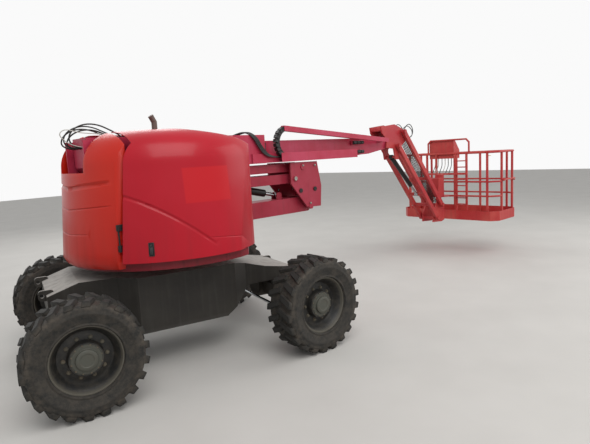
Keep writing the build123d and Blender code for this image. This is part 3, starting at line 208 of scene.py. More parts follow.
# %% Gel-coat
def gel_coat(name, colour_hex, worn_hex, film_hex, patch=None):
    """patch is the lowest and highest corner of a region that was covered and kept its first colour."""
    material = new_material(name)
    place = add_node(material, "ShaderNodeTexCoord").outputs["Object"]
    slow = add_node(material, "ShaderNodeTexNoise", {"Vector": place, "Scale": 1.3, "Detail": 3.0})
    fade = add_node(material, "ShaderNodeMapRange", {"Value": slow.outputs["Fac"], "From Min": 0.35,
        "From Max": 0.72})
    colour = add_node(material, "ShaderNodeMix", {"Factor": fade.outputs[0], "A": linear(colour_hex),
        "B": linear(worn_hex)}, data_type="RGBA")
    stretched = add_node(material, "ShaderNodeMapping", {"Vector": place, "Scale": (14, 14, 0.8)})
    runs = add_node(material, "ShaderNodeTexNoise", {"Vector": stretched.outputs[0], "Scale": 1.0,
        "Detail": 4.0})
    height = add_node(material, "ShaderNodeSeparateXYZ", {"Vector": place})
    low = add_node(material, "ShaderNodeMapRange", {"Value": height.outputs["Z"], "From Min": 1.5,
        "From Max": 1.0, "To Min": 0.04, "To Max": 0.26})
    film = add_node(material, "ShaderNodeMapRange", {"Value": runs.outputs["Fac"], "From Min": 0.42,
        "From Max": 0.75, "To Max": low.outputs[0]})
    colour = add_node(material, "ShaderNodeMix", {"Factor": film.outputs[0], "A": colour.outputs["Result"],
        "B": linear(film_hex)}, data_type="RGBA")
    if patch:
        low_corner, high_corner, patch_hex = patch
        above = add_node(material, "ShaderNodeVectorMath", {0: place, 1: low_corner}, operation="SUBTRACT")
        below = add_node(material, "ShaderNodeVectorMath", {0: high_corner, 1: place}, operation="SUBTRACT")
        room = add_node(material, "ShaderNodeVectorMath", {0: above.outputs[0], 1: below.outputs[0]},
            operation="MINIMUM")
        sides = add_node(material, "ShaderNodeSeparateXYZ", {"Vector": room.outputs[0]})
        nearest = add_node(material, "ShaderNodeMath", {0: sides.outputs["X"], 1: sides.outputs["Z"]},
            operation="MINIMUM")
        nearest = add_node(material, "ShaderNodeMath", {0: nearest.outputs[0], 1: sides.outputs["Y"]},
            operation="MINIMUM")
        inside = add_node(material, "ShaderNodeMapRange", {"Value": nearest.outputs[0], "From Min": 0.0,
            "From Max": 0.012, "To Max": 0.55})
        colour = add_node(material, "ShaderNodeMix", {"Factor": inside.outputs[0],
            "A": colour.outputs["Result"], "B": linear(patch_hex)}, data_type="RGBA")
    roughness = add_node(material, "ShaderNodeMapRange", {"Value": film.outputs[0], "To Min": 0.34,
        "From Max": 0.5, "To Max": 0.7})
    waves = add_node(material, "ShaderNodeTexNoise", {"Vector": place, "Scale": 3.5, "Detail": 1.0})
    relief = add_node(material, "ShaderNodeBump", {"Height": waves.outputs["Fac"], "Distance": 0.012,
        "Strength": 0.35})
    rounded = add_node(material, "ShaderNodeBevel", {"Radius": 0.006, "Normal": relief.outputs[0]},
        samples=4)
    shader = add_node(material, "ShaderNodeBsdfPrincipled", {"Base Color": colour.outputs["Result"],
        "Roughness": roughness.outputs[0], "Specular IOR Level": 0.22, "Coat Weight": 0.16,
        "Coat Roughness": 0.12, "Normal": rounded.outputs[0]})
    return finish_surface(material, shader)


PATCH_LOW = at(-0.345, -1.2, 1.500)
PATCH_HIGH = at(0.075, 0, 1.800)
hood_coat = gel_coat("gel_coat_crimson", "#A8041B", "#B00E24", "#5E2024")
near_hood_coat = gel_coat("gel_coat_crimson_near", "#A8041B", "#B00E24", "#5E2024",
                          patch=(PATCH_LOW, PATCH_HIGH, "#C4161A"))
cover_coat = gel_coat("gel_coat_orange_red", "#B51808", "#BC2412", "#64281E")

# %% [markdown]
# ## Tyres and rims
# The tyres are natural rubber filled with foam. Rubber is near black when clean, but carbon blooms to a
# brownish grey, and soil dries pale in every hollow of the tread, while the lugs' tops are scrubbed dark by
# the ground. Distance from the wheel's axis would tell tops from hollows, but the axis differs on each
# wheel, so each wheel gets its own material, which moves and turns the pattern to the middle of its own
# tyre. Rims are painted dark grey, the hub is paler, and dust lies on them in patches. The deep dish is
# coloured near black as painted shade, and a paler ring at the flange is a painted highlight on its rolled
# edge.

# %% Rubber and rim finishes, centred on each wheel
WHEELS = {"front_left": 9.5, "front_right": 9.5, "rear_left": 0.0, "rear_right": 0.0}
TREAD_TOP, TREAD_ROOT = 0.446, 0.40
SHOULDER_EDGE, SIDEWALL_EDGE = 0.41, 0.37
HUB_OUTSIDE, HUB_INSIDE = 0.118, 0.108
FLANGE_START, FLANGE_FULL = 0.236, 0.252


def wheel_pattern(material, centre, heading, scale, roughness):
    """Distance from the wheel's axis, and a noise that turns with the wheel."""
    place = add_node(material, "ShaderNodeTexCoord").outputs["Object"]
    moved = add_node(material, "ShaderNodeVectorMath", {0: place, 1: centre}, operation="SUBTRACT")
    local = add_node(material, "ShaderNodeVectorRotate", {"Vector": moved.outputs[0], "Angle": -heading},
        rotation_type="Z_AXIS")
    parts = add_node(material, "ShaderNodeSeparateXYZ", {"Vector": local.outputs[0]})
    flat = add_node(material, "ShaderNodeCombineXYZ", {"X": parts.outputs["X"], "Z": parts.outputs["Z"]})
    radius = add_node(material, "ShaderNodeVectorMath", {0: flat.outputs[0]}, operation="LENGTH")
    soil = add_node(material, "ShaderNodeTexNoise", {"Vector": local.outputs[0], "Scale": scale,
        "Detail": 8.0, "Roughness": roughness})
    return radius.outputs["Value"], soil.outputs["Fac"]


def tyre_rubber(name, centre, heading):
    material = new_material(name)
    radius, soil = wheel_pattern(material, centre, heading, 16.0, 0.72)
    hollow = add_node(material, "ShaderNodeMapRange", {"Value": radius, "From Min": TREAD_TOP,
        "From Max": TREAD_ROOT, "To Min": 0.0, "To Max": 0.75})
    side = add_node(material, "ShaderNodeMapRange", {"Value": radius, "From Min": SHOULDER_EDGE,
        "From Max": SIDEWALL_EDGE, "To Min": 1.0, "To Max": 0.45})
    clump = add_node(material, "ShaderNodeMapRange", {"Value": soil, "From Min": 0.38, "From Max": 0.62})
    mud = add_node(material, "ShaderNodeMath", {0: hollow.outputs[0], 1: side.outputs[0]},
        operation="MULTIPLY")
    mud = add_node(material, "ShaderNodeMath", {0: mud.outputs[0], 1: clump.outputs[0]},
        operation="MULTIPLY")
    bloom = add_node(material, "ShaderNodeMix", {"Factor": soil, "A": linear("#100F0E"),
        "B": linear("#2A2925")}, data_type="RGBA")
    colour = add_node(material, "ShaderNodeMix", {"Factor": mud.outputs[0], "A": bloom.outputs["Result"],
        "B": linear("#554C42")}, data_type="RGBA")
    rounded = add_node(material, "ShaderNodeBevel", {"Radius": 0.008}, samples=4)
    relief = add_node(material, "ShaderNodeBump", {"Height": soil, "Distance": 0.01, "Strength": 0.5,
        "Normal": rounded.outputs[0]})
    shader = add_node(material, "ShaderNodeBsdfPrincipled", {"Base Color": colour.outputs["Result"],
        "Roughness": 0.82, "Normal": relief.outputs[0]})
    return finish_surface(material, shader)


hub_paint = weathered_paint("hub_enamel_dusty", "#46463E", "#57564B", "#6B6152", gloss=0.6, dirt_share=0.8,
    mud_height=0.85)


def rim_enamel(name, centre, heading):
    """Dish darkened as painted shade, paler hub, a painted highlight on the flange, and patches of dust."""
    material = new_material(name)
    radius, soil = wheel_pattern(material, centre, heading, 20.0, 0.7)
    hub = add_node(material, "ShaderNodeMapRange", {"Value": radius, "From Min": HUB_OUTSIDE,
        "From Max": HUB_INSIDE})
    # Paler ring at the flange: a painted highlight on the rolled edge.
    flange_highlight = add_node(material, "ShaderNodeMapRange", {"Value": radius, "From Min": FLANGE_START,
        "From Max": FLANGE_FULL, "To Max": 0.85})
    clump = add_node(material, "ShaderNodeMapRange", {"Value": soil, "From Min": 0.42, "From Max": 0.66,
        "To Max": 0.4})
    # The dish's near black is painted shade in the deep dish, and the hub's grey is its own paint. The next
    # mix lays the painted highlight on the flange.
    colour = add_node(material, "ShaderNodeMix", {"Factor": hub.outputs[0], "A": linear("#131312"),
        "B": linear("#46473F")}, data_type="RGBA")
    colour = add_node(material, "ShaderNodeMix", {"Factor": flange_highlight.outputs[0],
        "A": colour.outputs["Result"], "B": linear("#5E5A50")}, data_type="RGBA")
    colour = add_node(material, "ShaderNodeMix", {"Factor": clump.outputs[0], "A": colour.outputs["Result"],
        "B": linear("#4A4339")}, data_type="RGBA")
    relief = add_node(material, "ShaderNodeBump", {"Height": soil, "Distance": 0.004, "Strength": 0.4})
    shader = add_node(material, "ShaderNodeBsdfPrincipled", {"Base Color": colour.outputs["Result"],
        "Roughness": 0.55, "Normal": relief.outputs[0]})
    return finish_surface(material, shader)


tyre_finish = {}
rim_finish = {}
for wheel, steer in WHEELS.items():
    low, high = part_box("tyre_" + wheel)
    heading = CHASSIS_TURN + math.radians(steer)
    tyre_finish[wheel] = tyre_rubber("muddy_rubber_" + wheel, (low + high) / 2, heading)
    rim_finish[wheel] = rim_enamel("rim_enamel_" + wheel, (low + high) / 2, heading)
print("wheels finished:", ", ".join(WHEELS))

# %% [markdown]
# ## Small finishes
# Cylinder rods are hard chrome, ground smooth and bright. Bolts are zinc plated, which is a milky grey metal
# with soft stains. Hoses are smooth nitrile rubber, and the latches, clamps and chain links are moulded ABS
# with a fine spark-eroded grain.

# %% Chrome, zinc, hose rubber and ABS
def simple_finish(name, colour_hex, other_hex, roughness, grain, metallic=0.0):
    material = new_material(name)
    place = add_node(material, "ShaderNodeTexCoord").outputs["Object"]
    stain = add_node(material, "ShaderNodeTexNoise", {"Vector": place, "Scale": 9.0, "Detail": 6.0})
    colour = add_node(material, "ShaderNodeMix", {"Factor": stain.outputs["Fac"], "A": linear(colour_hex),
        "B": linear(other_hex)}, data_type="RGBA")
    fine = add_node(material, "ShaderNodeTexNoise", {"Vector": place, "Scale": grain, "Detail": 3.0})
    gloss = add_node(material, "ShaderNodeMapRange", {"Value": fine.outputs["Fac"],
        "To Min": roughness * 0.7, "To Max": min(1.0, roughness * 1.35)})
    relief = add_node(material, "ShaderNodeBump", {"Height": fine.outputs["Fac"], "Strength": 0.4,
        "Distance": 0.0005})
    shader = add_node(material, "ShaderNodeBsdfPrincipled", {"Base Color": colour.outputs["Result"],
        "Roughness": gloss.outputs[0], "Metallic": metallic, "Normal": relief.outputs[0]})
    return finish_surface(material, shader)


chrome = simple_finish("hard_chrome_rod", "#B9BCBE", "#8E9194", 0.16, metallic=1.0, grain=300.0)
zinc = simple_finish("zinc_plated_steel", "#A9A8A2", "#7C7A72", 0.42, metallic=0.9, grain=120.0)
hose_rubber = simple_finish("nitrile_hose", "#121212", "#262523", 0.5, grain=220.0)
black_abs = simple_finish("moulded_abs_black", "#1A1A1A", "#242424", 0.5, grain=500.0)
cast_grey = simple_finish("bare_aluminium_casting", "#6E6E6A", "#4A4A47", 0.6, metallic=0.5, grain=150.0)
cable_white = simple_finish("pvc_cable_white", "#C9C7C0", "#A5A29A", 0.5, grain=200.0)
yellow_enamel = simple_finish("yellow_enamel", "#D9B224", "#B8941E", 0.4, grain=120.0)
exhaust_steel = simple_finish("heat_stained_steel", "#3A302C", "#7A6A62", 0.6, metallic=0.4, grain=60.0)

# %% Finishes of the CAD nodes
NODE_FINISH = {
    skirt_paint: ["turntable"],
    boom_paint: ["outer_boom", "inner_boom", "hose_tray", "guide_bar", "boom_foot", "boom_ears",
                 "cylinder_seat"],
    arm_paint: ["lower_arm", "lower_link", "upper_arm", "upper_link", "arm_knuckle"],
    jib_paint: ["jib_bracket", "jib_arm", "jib_link", "basket_support"],
    basket_paint: ["basket_floor", "basket_rails", "basket_yoke", "console", "console_hoop", "gate_bar"],
    yellow_enamel: ["lanyard_anchors"],
    frame_paint: ["chassis_frame"],
    axle_paint: ["front_axle", "rear_axle", "knuckle_left", "knuckle_right"],
    ring_paint: ["slew_ring"],
    black_paint: ["hood_hinges", "boom_cylinder_barrel", "arm_cylinder_barrel", "jib_cylinder_barrel"],
    chrome: ["boom_cylinder_rod", "arm_cylinder_rod", "jib_cylinder_rod", "tie_rod"],
    black_abs: ["hose_chain"],
    cast_grey: ["engine"],
    exhaust_steel: ["exhaust"],
}
for finish, names in NODE_FINISH.items():
    for name in names:
        nodes[name].data.materials[0] = finish
print("finished nodes:", sum(len(names) for names in NODE_FINISH.values()))

# %% [markdown]
# ## Modelling tools
# Everything that is added is modelled as by hand: a primitive is placed, its faces or edges are picked by
# where they are, and edit-mode operators shape it. An operator acts on all that is selected, so these
# helpers first clear the selection. A finished piece has its place in its mesh, rides on a CAD body, and is
# shaded smooth except over real corners.

# %% Picking, placing and finishing
def fresh():
    if bpy.context.object and bpy.context.object.mode != "OBJECT":
        bpy.ops.object.mode_set(mode="OBJECT")
    bpy.ops.object.select_all(action="DESELECT")


def work_on(piece):
    fresh()
    piece.select_set(True)
    bpy.context.view_layer.objects.active = piece
    return piece


def add_cylinder(sides, radius, depth, centre=(0, 0, 0)):
    fresh()
    bpy.ops.mesh.primitive_cylinder_add(vertices=sides, radius=radius, depth=depth, location=centre)
    bpy.ops.object.transform_apply(location=True, rotation=True, scale=True)
    return bpy.context.object


def add_block(size, centre=(0, 0, 0)):
    fresh()
    bpy.ops.mesh.primitive_cube_add(size=1, location=centre)
    bpy.context.object.scale = size
    bpy.ops.object.transform_apply(location=True, rotation=True, scale=True)
    return bpy.context.object


def pick(piece, kind, test):
    """Select the faces, edges or points for which test(place, direction) holds, and stay in edit mode."""
    work_on(piece)
    bpy.ops.object.mode_set(mode="EDIT")
    bpy.ops.mesh.select_mode(type=kind)
    bpy.ops.mesh.select_all(action="DESELECT")
    bpy.ops.object.mode_set(mode="OBJECT")
    mesh = piece.data
    if kind == "FACE":
        for face in mesh.polygons:
            face.select = bool(test(face.center, face.normal))
    elif kind == "EDGE":
        for edge in mesh.edges:
            first, last = (mesh.vertices[index].co for index in edge.vertices)
            edge.select = bool(test((first + last) / 2, (last - first).normalized()))
    else:
        for point in mesh.vertices:
            point.select = bool(test(point.co, point.normal))
    bpy.ops.object.mode_set(mode="EDIT")


def everything(piece):
    pick(piece, "FACE", lambda place, normal: True)


def apply_modifier(piece, kind, **settings):
    work_on(piece)
    modifier = piece.modifiers.new(kind.lower(), kind)
    for name, value in settings.items():
        setattr(modifier, name, value)
    bpy.ops.object.modifier_apply(modifier=modifier.name)


def settle(piece, name, body, finish, angle=35):
    """Fix the piece's place in its mesh, smooth it, give it its finish, and let it ride on its body."""
    work_on(piece)
    bpy.ops.object.transform_apply(location=True, rotation=True, scale=True)
    bpy.ops.object.shade_smooth_by_angle(angle=math.radians(angle))
    piece.name = name
    piece.data.materials.clear()
    piece.data.materials.append(finish)
    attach(piece, body)
    return piece


def copy_at(piece, placement):
    """A copy of the piece with its own mesh."""
    copy = piece.copy()
    copy.data = piece.data.copy()
    copy.matrix_world = placement
    bpy.context.collection.objects.link(copy)
    return copy


def join_pieces(pieces):
    fresh()
    for piece in pieces:
        piece.select_set(True)
    bpy.context.view_layer.objects.active = pieces[0]
    bpy.ops.object.transform_apply(location=True, rotation=True, scale=True)
    if len(pieces) > 1:
        bpy.ops.object.join()
    return bpy.context.object


def put_copies(piece, placements):
    """One copy of the model for each placement, joined to one piece."""
    copies = [copy_at(piece, placement) for placement in placements]
    bpy.data.objects.remove(piece)
    return join_pieces(copies)


def turn_to(direction):
    """Placement whose z axis points along direction."""
    return Vector(direction).to_track_quat("Z", "Y").to_matrix().to_4x4()


# %% [markdown]
# ## Tyres
# A foam-filled tyre on such a machine has a thick smooth sidewall and chunky lugs that wrap over the
# shoulder, because it has to grip soft ground and can't go flat. The CAD tyre is a many-sided stand-in with
# the right lugs, so a rounder one takes its place. The carcass starts as a cylinder whose ends are inset
# again and again, which steps the sidewall inwards. One lug is shaped from a cube and copied round in two
# staggered rows, as the mould does it. The finished tyre is then pressed a little narrower, so that it stays
# within the CAD tyre's width.

# %% Carcass of the tyre
CARCASS_RADIUS = 0.416
TYRE_HALF = 0.165
RIM_RADIUS = 0.262
LUG_COUNT = 22
TYRE_SQUEEZE = 0.975

carcass = add_cylinder(110, CARCASS_RADIUS, 2 * TYRE_HALF)
pick(carcass, "EDGE", lambda place, way: abs(place.z) > TYRE_HALF - 0.001 and place.xy.length > 0.4)
bpy.ops.mesh.bevel(offset=0.034, segments=4, profile=0.6)
for inset_width, rise in ((0.012, 0.0), (0.006, 0.004), (0.014, 0.0), (0.006, -0.004), (0.034, -0.004),
                          (0.026, -0.010), (0.007, 0.004), (0.008, 0.0), (0.007, -0.012)):
    pick(carcass, "FACE", lambda place, normal: abs(normal.z) > 0.99 and place.xy.length < 0.001)
    bpy.ops.mesh.inset(thickness=inset_width, depth=rise, use_individual=True)
pick(carcass, "FACE", lambda place, normal: abs(normal.z) > 0.99 and place.xy.length < 0.001)
bpy.ops.mesh.delete(type="FACE")
bpy.ops.mesh.select_all(action="DESELECT")
bpy.ops.mesh.select_mode(type="EDGE")
bpy.ops.mesh.select_non_manifold()
bpy.ops.mesh.bridge_edge_loops()
fresh()
print("carcass faces", len(carcass.data.polygons))

# %% One lug, from a cube
LUG_WIDTH = 0.058
LUG_SKEW = 0.060
LUG_ROOT = 0.372
LUG_TOP = 0.4455
lug = add_block((LUG_WIDTH, TYRE_HALF - 0.018, LUG_TOP - LUG_ROOT),
                (0, (TYRE_HALF + 0.006) / 2, (LUG_ROOT + LUG_TOP) / 2))
pick(lug, "VERT", lambda place, normal: place.y > 0.1)
bpy.ops.transform.translate(value=(LUG_SKEW / 2, 0, 0))
pick(lug, "VERT", lambda place, normal: place.y < 0.1)
bpy.ops.transform.translate(value=(-LUG_SKEW / 2, 0, 0))
pick(lug, "VERT", lambda place, normal: place.y < 0.1 and place.x < -LUG_SKEW / 2)
bpy.ops.transform.translate(value=(0.010, 0, 0))
pick(lug, "FACE", lambda place, normal: normal.z > 0.9)
bpy.ops.mesh.inset(thickness=0.004, depth=0)
pick(lug, "FACE", lambda place, normal: normal.z < -0.9)
bpy.ops.mesh.delete(type="FACE")
pick(lug, "VERT", lambda place, normal: place.z < LUG_ROOT + 0.001)
bpy.ops.transform.resize(value=(1.16, 1, 1))
pick(lug, "EDGE", lambda place, way: place.z > LUG_ROOT + 0.01)
bpy.ops.mesh.bevel(offset=0.0035, segments=2)
fresh()
print("lug faces", len(lug.data.polygons))

# %% Lugs all round, and four tyres
pitch = 2 * math.pi / LUG_COUNT
lug_places = []
for step in range(LUG_COUNT):
    for side in (1, -1):
        shift = 0 if side > 0 else pitch / 2
        lug_places.append(Matrix.Rotation(step * pitch + shift, 4, "Z") @ Matrix.Rotation(math.pi / 2, 4, "Y")
                          @ Matrix.Rotation(math.pi / 2, 4, "Z")
                          @ Matrix.Diagonal((1, side, 1, 1)))
tread = put_copies(lug, lug_places)
everything(tread)
bpy.ops.mesh.normals_make_consistent(inside=False)
tyre_model = join_pieces([carcass, tread])
everything(tyre_model)
bpy.ops.transform.resize(value=(1, 1, TYRE_SQUEEZE), center_override=(0, 0, 0))
fresh()
print("tyre faces", len(tyre_model.data.polygons))


def wheel_place(wheel):
    """Placement that turns a wheel modelled about z, outer side up, to its own axis."""
    low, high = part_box("tyre_" + wheel)
    outward = 90 if wheel.endswith("right") else -90
    heading = CHASSIS_TURN + math.radians(WHEELS[wheel])
    return (Matrix.Translation((low + high) / 2) @ Matrix.Rotation(heading, 4, "Z")
            @ Matrix.Rotation(math.radians(outward), 4, "X"))


def mount_on_wheels(model, name, finishes, replaces=None):
    for wheel in WHEELS:
        copy = copy_at(model, wheel_place(wheel))
        settle(copy, name + "_" + wheel, "wheel_" + wheel, finishes[wheel])
        if replaces:
            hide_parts(replaces + "_" + wheel)
    bpy.data.objects.remove(model)


mount_on_wheels(tyre_model, "lugged_tyre", tyre_finish, "tyre")

# %% [markdown]
# ## Rims
# The rims are pressed steel: a rolled flange, a deep dish, and a flat that the wheel nuts clamp to the hub.
# In the middle the planetary hub of the drive sticks out, with a bolted cover and a stepped cap. All of it
# comes from one cylinder by insets, with a negative depth where the press went in.

# %% Dished rim with its hub
RIM_HALF = 0.1287
rim_model = add_cylinder(96, RIM_RADIUS - 0.001, 2 * RIM_HALF)


def step_face(piece, side, steps):
    for width, rise in steps:
        pick(piece, "FACE", lambda place, normal: normal.z * side > 0.99 and place.xy.length < 0.001)
        bpy.ops.mesh.inset(thickness=width, depth=rise)


step_face(rim_model, 1, ((0.009, 0.0), (0.003, -0.004), (0.004, -0.016), (0.010, -0.012), (0.006, -0.008),
                         (0.014, -0.030), (0.010, -0.016), (0.006, -0.006), (0.022, 0.0), (0.004, 0.002),
                         (0.040, 0.0), (0.003, 0.004), (0.003, 0.050), (0.004, 0.006), (0.014, 0.0),
                         (0.003, 0.006), (0.022, 0.0), (0.003, 0.003), (0.003, 0.018), (0.006, 0.004),
                         (0.020, 0.0), (0.004, -0.003)))
step_face(rim_model, -1, ((0.010, 0.0), (0.004, -0.010), (0.030, -0.085), (0.020, -0.020), (0.060, 0.0),
                          (0.006, 0.0), (0.002, 0.045), (0.010, 0.0), (0.002, -0.006)))
fresh()
print("rim faces", len(rim_model.data.polygons), "height", round(rim_model.dimensions.z, 3))

# %% [markdown]
# Wheel nuts are hexagons on a washer, painted over with the hub and dusty. One nut is modelled from a
# six-sided cylinder and copied round the dish, and a smaller one holds the hub's cover.

# %% Nuts
def hex_bolt(radius, height):
    """Hexagon head on a washer, standing on z = 0."""
    head = add_cylinder(6, radius, height, (0, 0, height / 2 + radius * 0.18))
    pick(head, "EDGE", lambda place, way: place.z > height * 0.9)
    bpy.ops.mesh.bevel(offset=radius * 0.14, segments=2)
    pick(head, "FACE", lambda place, normal: normal.z > 0.99)
    bpy.ops.mesh.inset(thickness=radius * 0.12, depth=radius * 0.05)
    ring = add_cylinder(20, radius * 1.25, radius * 0.22, (0, 0, radius * 0.11))
    pick(ring, "EDGE", lambda place, way: place.z > radius * 0.2)
    bpy.ops.mesh.bevel(offset=radius * 0.07, segments=1)
    return join_pieces([head, ring])


def bolt_circle(radius, count, height, size, turn=0):
    spots = []
    for step in range(count):
        angle = turn + 2 * math.pi * step / count
        spots.append(Matrix.Translation((radius * math.cos(angle), radius * math.sin(angle), height))
                     @ Matrix.Rotation(angle, 4, "Z"))
    return put_copies(hex_bolt(size, size * 0.9), spots)


def top_at(model, distance):
    """Height of a turned piece's outer side at a distance from its axis."""
    return model.ray_cast(Vector((distance, 0.0003, 1)), Vector((0, 0, -1)))[1].z


NUT_CIRCLE = 0.154
COVER_CIRCLE = 0.108
nut_height = top_at(rim_model, NUT_CIRCLE)
cover_height = top_at(rim_model, COVER_CIRCLE)
wheel_nuts = bolt_circle(NUT_CIRCLE, 10, nut_height, 0.013)
cover_bolts = bolt_circle(COVER_CIRCLE, 12, cover_height, 0.0065, 0.2)
print("nuts at", round(nut_height, 4), "and", round(cover_height, 4))
mount_on_wheels(rim_model, "dished_rim", rim_finish, "rim")
mount_on_wheels(wheel_nuts, "wheel_nuts", dict.fromkeys(WHEELS, hub_paint))
mount_on_wheels(cover_bolts, "hub_bolts", dict.fromkeys(WHEELS, hub_paint))

# %% [markdown]
# ## Round covers
# The two big hoods and the rear casting share one round form about the slewing axis: nearly upright sides
# that lean in a little, then a shoulder of 300 mm radius up to a flat top. The CAD model has it with 36
# flats, and here it is modelled smooth. A cylinder is the start. Its top face is extruded and shrunk step
# by step to make the shoulder, and planes then cut the nose, as one would saw a turned block of foam for
# the mould's pattern.

# %% Domed block about the slewing axis
SIDE_RADIUS_LOW = 0.990
SIDE_RADIUS_HIGH = 0.925
COVER_BOTTOM = 1.050
SHOULDER_START = 1.830
SHOULDER_RADIUS = 0.300
SLOT_HALF = 0.250
SHOULDER_STEPS = 14
SLICE_LEVELS = (1.13, 1.21, 1.29, 1.37, 1.45, 1.53, 1.61, 1.69, 1.76)
COVER_SMOOTH = 40


def scale_round(factor):
    """Scale what is selected about the slewing axis."""
    bpy.ops.transform.resize(value=(factor, factor, 1), center_override=at(0, 0, 0))


def domed_block():
    block = add_cylinder(144, SIDE_RADIUS_LOW, SHOULDER_START - COVER_BOTTOM,
                         at(0, 0, (SHOULDER_START + COVER_BOTTOM) / 2))
    pick(block, "VERT", lambda place, normal: place.z > COVER_BOTTOM + 0.01)
    scale_round(SIDE_RADIUS_HIGH / SIDE_RADIUS_LOW)
    radius = SIDE_RADIUS_HIGH
    height = SHOULDER_START
    for step in range(1, SHOULDER_STEPS + 1):
        angle = math.radians(90 * step / SHOULDER_STEPS)
        new_radius = SIDE_RADIUS_HIGH - SHOULDER_RADIUS * (1 - math.cos(angle))
        new_height = SHOULDER_START + SHOULDER_RADIUS * math.sin(angle)
        pick(block, "FACE", lambda place, normal: normal.z > 0.99 and place.z > height - 0.002)
        bpy.ops.mesh.extrude_region_move(TRANSFORM_OT_translate={"value": (0, 0, new_height - height)})
        scale_round(new_radius / radius)
        radius, height = new_radius, new_height
    for level in SLICE_LEVELS:
        everything(block)
        bpy.ops.mesh.bisect(plane_co=at(0, 0, level), plane_no=(0, 0, 1))
    return block


def saw(piece, through, outward, fill=True):
    everything(piece)
    bpy.ops.mesh.bisect(plane_co=through, plane_no=outward, use_fill=fill, clear_outer=True)


def drop_faces(piece, test):
    pick(piece, "FACE", test)
    bpy.ops.mesh.delete(type="FACE")


# %% [markdown]
# The nose isn't made of flats on the real hood: its top rolls down to the front and its corner is rounded.
# Each roll is cut with several planes that turn a few degrees from one to the next, tangent to the curve.

# %% Cuts that shape the nose
NOSE_PROFILE = [(-0.300, 2.140), (0.120, 2.068), (0.330, 2.028), (0.500, 1.945), (0.630, 1.810),
                (0.700, 1.660)]
NOSE_FRONT = 0.700
CHAMFER_TURN = -38.8
NOSE_CORNERS = [((0.378, -0.850), -66, CHAMFER_TURN, 0.010), ((NOSE_FRONT, -0.450), CHAMFER_TURN, 0, 0.030)]


def nose_cuts():
    """Planes as (point, outward normal) for the right hood's top and front."""
    chamfer = math.radians(CHAMFER_TURN)
    cuts = [(at(NOSE_FRONT, 0, 0), Vector((1, 0, 0))),
            (at(NOSE_FRONT, -0.450, 0), Vector((math.cos(chamfer), math.sin(chamfer), 0)))]
    slopes = []
    for (x0, z0), (x1, z1) in zip(NOSE_PROFILE, NOSE_PROFILE[1:]):
        slopes.append(math.atan2(x1 - x0, z0 - z1))
        cuts.append((at(x0, 0, z0), Vector((z0 - z1, 0, x1 - x0)).normalized()))
    slopes.append(0)
    for (x, z), steep, next_steep in zip(NOSE_PROFILE[1:], slopes, slopes[1:]):
        for share in (0.25, 0.5, 0.75):
            angle = steep + (next_steep - steep) * share
            depth = 0.05 * abs(steep - next_steep) * (1 - abs(share - 0.5))
            normal = Vector((math.cos(angle), 0, math.sin(angle)))
            cuts.append((at(x, 0, z) - normal * depth * 0.5, normal))
    for (x, y), start, end, depth in NOSE_CORNERS:
        for share in (0.15, 0.3, 0.45, 0.6, 0.75, 0.9):
            angle = math.radians(start + (end - start) * share)
            normal = Vector((math.cos(angle), math.sin(angle), 0))
            cuts.append((at(x, y, 0) - normal * depth * (1 - abs(2 * share - 1)), normal))
    return cuts


print("cuts for the nose", len(nose_cuts()))

# %% [markdown]
# Two kinds of pressed lines run over the skin. A groove is a channel with sloped walls that stiffens the
# shell, and it shows as a dark band with a light lower edge. On the door it follows one slanting plane. The
# skin is cut beside that plane several times, and the strip between the middle cuts is pushed inwards.

# %% Grooves pressed into the skin
def press_groove(piece, through, across, half_width, depth, test):
    """A channel along the plane's cut through the picked faces."""
    across = Vector(across).normalized()
    for offset in (-half_width - 0.004, -half_width, -half_width * 0.45, half_width * 0.45, half_width,
                   half_width + 0.004):
        pick(piece, "FACE", lambda place, normal: test(place) and
             abs((place - through).dot(across)) < half_width + 0.12)
        bpy.ops.mesh.bisect(plane_co=through + across * offset, plane_no=across)
    pick(piece, "VERT", lambda place, normal: test(place) and
         abs((place - through).dot(across)) < half_width * 0.46)
    fresh()
    for point in piece.data.vertices:
        if point.select:
            outward = Vector((point.co.x - SLEW_X, point.co.y, 0)).normalized()
            point.co -= outward * depth


SPLIT_X = -0.620
SPLIT_Y = -0.595
CREASE_NORMAL = Vector((0.9585, 0.3539, 1.0))


def hood_skin():
    skin = domed_block()
    for through, outward in nose_cuts():
        saw(skin, through, outward)
    saw(skin, at(0, -SLOT_HALF, 0), (0, 1, 0), fill=False)
    drop_faces(skin, lambda place, normal: normal.z < -0.9)
    everything(skin)
    bpy.ops.mesh.bisect(plane_co=at(SPLIT_X, 0, 0), plane_no=(1, 0, 0))
    everything(skin)
    bpy.ops.mesh.bisect(plane_co=at(0, SPLIT_Y, 0), plane_no=(0, 1, 0))
    drop_faces(skin, lambda place, normal: place.x < at(SPLIT_X, 0, 0).x and place.y > SPLIT_Y)
    return skin


hood_model = hood_skin()
press_groove(hood_model, at(-0.431, -0.869, 1.398), CREASE_NORMAL, 0.014, 0.009,
             lambda place: place.y < -0.5 and place.x < SLEW_X - 0.13)
press_groove(hood_model, at(0.1, -0.93, 1.178), (0.10, 0.03, 1), 0.005, 0.003,
             lambda place: place.y < -0.5 and SLEW_X - 0.19 < place.x < SLEW_X + 0.36)
print("hood faces", len(hood_model.data.polygons))

# %% [markdown]
# The far hood is the near one's mirror image. Mirroring turns a skin inside out, so its normals are
# recalculated before the wall gets its thickness.

# %% Wall and finish of both hoods
HOOD_WALL = 0.008
MERGE_GAP = 0.0002


def finish_hood(skin, side, finish):
    everything(skin)
    bpy.ops.mesh.remove_doubles(threshold=MERGE_GAP)
    bpy.ops.mesh.normals_make_consistent(inside=False)
    apply_modifier(skin, "SOLIDIFY", thickness=HOOD_WALL, offset=-1.0, use_even_offset=True)
    apply_modifier(skin, "WEIGHTED_NORMAL", keep_sharp=True)
    settle(skin, "hood_shell_" + side, "hood_" + side, finish, COVER_SMOOTH)
    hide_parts("hood_" + side)


